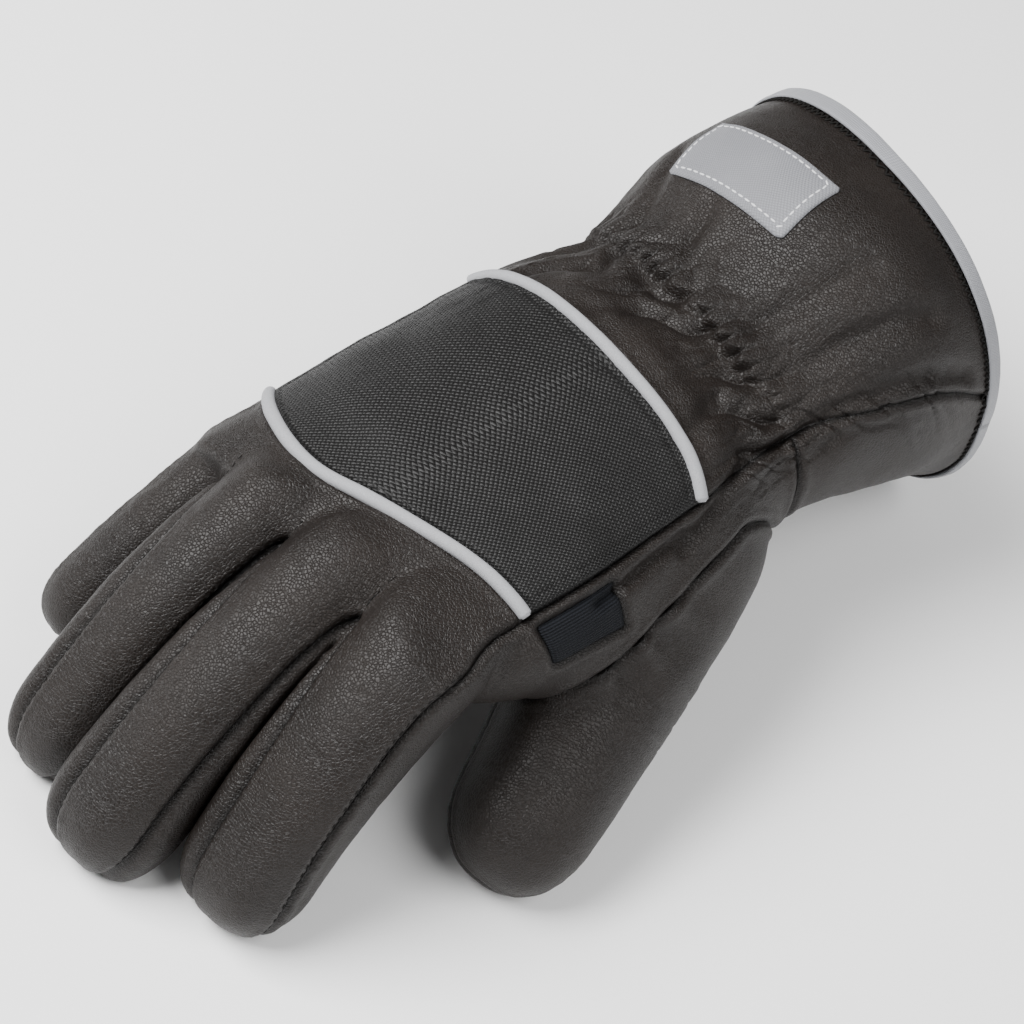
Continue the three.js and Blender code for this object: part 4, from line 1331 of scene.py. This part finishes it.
def rim_binding():
    """The folded tape, with soft waves on the faces that show."""
    angles = np.linspace(0, 360, BINDING_STEPS + 1)[:-1]
    centre = body_point(RIM_Y - 3, angles)
    wave = 0.14 * noise(centre / 7, 51) + 0.05 * noise(centre / 2.2, 52)
    rings = []
    for y, offset in OUTLINE:
        shows = offset > 0.5 or offset < -3.3 or y > RIM_Y
        side = 1 if offset > -1 else -1
        rings.append(body_point(y, angles, offset + shows * side * wave))
    rings = np.stack(rings, 1)
    verts = rings.reshape(-1, 3)
    verts[:, 2] = np.maximum(verts[:, 2], 0)
    obj = piece_object("rim_binding", *outward(verts, ring_faces(*rings.shape[:2])))
    set_attribute(obj, "cloth", cloth_grid(angles, np.arange(len(OUTLINE))) / 1000)
    return finished(obj, tape, "reflective", "rim_binding")


def rim_stitches():
    """Overlocked thread that zigzags beside the tape."""
    angles = np.linspace(0, 360, OVERLOCK_STEPS + 1)[:-1]
    swing = np.tile(OVERLOCK_SWING, OVERLOCK_STEPS // 2)
    points, _ = surface.near(body_point(HEM_Y + swing, angles, 0.5))
    halfway = 0.5 * points + 0.5 * np.roll(points, -1, 0)
    spots, normals = surface.near(np.stack([points, halfway], 1).reshape(-1, 3))
    lifts = np.tile(OVERLOCK_LIFT, OVERLOCK_STEPS)[:, None]
    verts, tris = ring_tube(spots + normals * lifts, normals, 0.36, sides=6, loop=True)
    verts[:, 2] = np.maximum(verts[:, 2], 0.05)
    obj = piece_object("rim_overlock", *outward(verts, tris))
    return finished(obj, dark_thread, "knit")


rim_binding()
rim_stitches()

# The bare label, sewn on with pale thread
LABEL_Y = float(place(LABEL_AT))
LABEL_HALF = np.array([LABEL_LENGTH / 2, LABEL_WIDTH / 2])
LABEL_CORNER = 1.6
LABEL_INSET = 2.0
LABEL_GRID = (61, 33)


def label_ends():
    angles = np.linspace(LABEL_ANGLE - 60, LABEL_ANGLE + 60, 961)
    far = travelled(body_point(LABEL_Y, angles))
    middle = np.interp(LABEL_ANGLE, angles, far)
    return np.interp([middle - LABEL_HALF[0], middle + LABEL_HALF[0]], far, angles)


def label_point(u, v, offset):
    """A point on the label from its own shares across and along, each from -1 to 1."""
    low, high = label_ends()
    angle = low + (high - low) * (u + 1) / 2
    return body_point(LABEL_Y + v * LABEL_WIDTH / 2, angle, offset)


def leather_height(u, v):
    bare = label_point(u, v, 0.0)
    flat = bare.reshape(-1, 3)
    up = unit(label_point(u, v, 2.0).reshape(-1, 3) - flat)
    spots, _ = surface.near(flat + 0.5 * up)
    return ((spots - flat) * up).sum(1).reshape(bare.shape[:-1])


def round_cornered(x, z):
    """Places on the label, drawn in at its corners."""
    past_x = np.maximum(np.abs(x) - (LABEL_HALF[0] - LABEL_CORNER), 0)
    past_z = np.maximum(np.abs(z) - (LABEL_HALF[1] - LABEL_CORNER), 0)
    both = np.maximum(np.hypot(past_x, past_z), 1e-6)
    shrink = np.where((past_x > 0) & (past_z > 0), np.minimum(1, LABEL_CORNER / both), 1)
    x = np.sign(x) * (np.abs(x) - past_x + past_x * shrink)
    z = np.sign(z) * (np.abs(z) - past_z + past_z * shrink)
    return x, z


def laid_flat(under):
    """The height of stiff cloth over uneven leather."""
    smooth = under
    for _ in range(12):
        padded = np.pad(smooth, 1, "edge")
        beside = padded[:-2, 1:-1] + padded[2:, 1:-1] + padded[1:-1, :-2] + padded[1:-1, 2:]
        smooth = (padded[1:-1, 1:-1] * 2 + beside) / 6
    return np.maximum(smooth, under - 0.15)


def label_patch():
    """The label with rounded corners and a sewn-down border. Returns its upper face."""
    u, v = np.meshgrid(*(np.linspace(-1, 1, count) for count in LABEL_GRID))
    x, z = round_cornered(u * LABEL_HALF[0], v * LABEL_HALF[1])
    u, v = x / LABEL_HALF[0], z / LABEL_HALF[1]
    smooth = laid_flat(leather_height(u, v))
    inside = np.minimum(LABEL_HALF[0] - np.abs(x), LABEL_HALF[1] - np.abs(z))
    edge = np.sqrt(np.clip(inside / 0.6, 0, 1))
    sewn = -0.22 * bell(inside - LABEL_INSET, 0.7)
    puff = 0.1 * noise(np.stack([x / 6, z / 6, 0 * x], -1), 61)
    top = label_point(u, v, smooth + 0.45 + 0.5 * edge + sewn + puff).reshape(-1, 3)
    bottom = label_point(u, v, smooth + 0.12).reshape(-1, 3)
    columns, rows = LABEL_GRID
    a = (np.arange(rows - 1)[:, None] * columns + np.arange(columns - 1)).ravel()
    quad = np.stack([a, a + 1, a + columns + 1, a + columns], -1)
    tris = np.vstack([quad[:, [0, 1, 2]], quad[:, [0, 2, 3]]])
    obj = piece_object("label_patch", *outward(*shell(top, bottom, tris)))
    cloth = np.stack([x, z, 0 * x], -1).reshape(-1, 3)
    set_attribute(obj, "cloth", np.vstack([cloth, cloth]) / 1000)
    finished(obj, label_cloth, "reflective", "label_patch")
    return top, tris


def label_stitches(face):
    w, h = 1 - LABEL_INSET / LABEL_HALF
    corners = np.array([[-w, -h], [w, -h], [w, h], [-w, h], [-w, -h]])
    path = np.vstack([np.linspace(p, q, 40)[:-1] for p, q in zip(corners, corners[1:])])
    path = label_point(path[:, 0], path[:, 1], 1.4)
    obj = piece_object("label_stitches", *stitch_row(Surface([face]), path, 2.5, 1.75, 0.3, loop=True))
    return finished(obj, white_thread, "reflective")


label_stitches(label_patch())


# Dark stitching beside the seams
def seam_stitches():
    """Rows of thread just above the seams at the sides of the fingers."""
    sewn = [(name, THUMB_SIDE_SEAM, 1) for name in ("little", "ring", "middle")]
    sewn += [(name, LITTLE_SIDE_SEAM, -1) for name in ("ring", "middle", "index")]
    sewn += [("index", INDEX_OUTER_SEAM, 1)]
    places = np.linspace(0.03, 0.9, 90)
    made = []
    for name, seam, side in sewn:
        wide = np.radians(1) * fingers[name].half_sizes(places)[0]
        angle = between(SEAM_PLACES, seam, places) + side * 1.5 / wide
        made.append(stitch_row(surface, fingers[name].point(places, angle, 0.3), 2.6, 1.6, 0.2, 0.03))
    obj = piece_object("seam_stitches", *stacked(made))
    return finished(obj, dark_thread, "knit")


seam_stitches()


# Studio: a pale floor, soft light and the photograph's view
TARGET = Vector((-0.01321, -0.02836, 0.055))
AZIMUTH = math.radians(42.1)
ELEVATION = math.radians(48.6)
ROLL = math.radians(14.8)
DISTANCE = 0.742


def view_axes():
    right = Vector((math.cos(AZIMUTH), math.sin(AZIMUTH), 0))
    back = Vector((
        math.sin(AZIMUTH) * math.cos(ELEVATION),
        -math.cos(AZIMUTH) * math.cos(ELEVATION),
        math.sin(ELEVATION),
    ))
    up = back.cross(right)
    turned = right * math.cos(ROLL) + up * math.sin(ROLL)
    return turned, back.cross(turned), back


def studio():
    scene = bpy.context.scene
    right, up, back = view_axes()
    camera = bpy.data.objects.new("camera", bpy.data.cameras.new("camera"))
    camera.data.lens = 100
    camera.data.sensor_width = 36
    camera.data.shift_x = 0.078
    camera.data.shift_y = -0.002
    rotation = Matrix((right, up, back)).transposed().to_4x4()
    camera.matrix_world = Matrix.Translation(TARGET + back * DISTANCE) @ rotation
    scene.collection.objects.link(camera)
    scene.camera = camera
    floor = new_object("floor", [[-3, -3, 0], [3, -3, 0], [3, 3, 0], [-3, 3, 0]], [[0, 1, 2, 3]])
    floor.location.z = -0.0002
    pale = {"Base Color": (0.93, 0.93, 0.93, 1), "Roughness": 0.9, "Specular IOR Level": 0.1}
    floor.data.materials.append(Look("floor").finish(pale))
    world = bpy.data.worlds.new("world")
    world.use_nodes = True
    background = world.node_tree.nodes["Background"]
    background.inputs["Color"].default_value = (1, 1, 1, 1)
    background.inputs["Strength"].default_value = 0.22
    scene.world = world

    def soft_light(name, place_at, size, power):
        light = bpy.data.lights.new(name, "AREA")
        light.shape = "RECTANGLE"
        light.size, light.size_y = size
        light.energy = power
        obj = bpy.data.objects.new(name, light)
        at = TARGET + right * place_at[0] + up * place_at[1] + back * place_at[2]
        aimed = (TARGET - at).to_track_quat("-Z", "Y").to_matrix().to_4x4()
        obj.matrix_world = Matrix.Translation(at) @ aimed
        scene.collection.objects.link(obj)

    soft_light("key", (-0.5, 0.7, 0.75), (0.9, 0.6), 39)
    soft_light("fill", (0.8, 0.1, 0.9), (0.9, 0.9), 14)


studio()
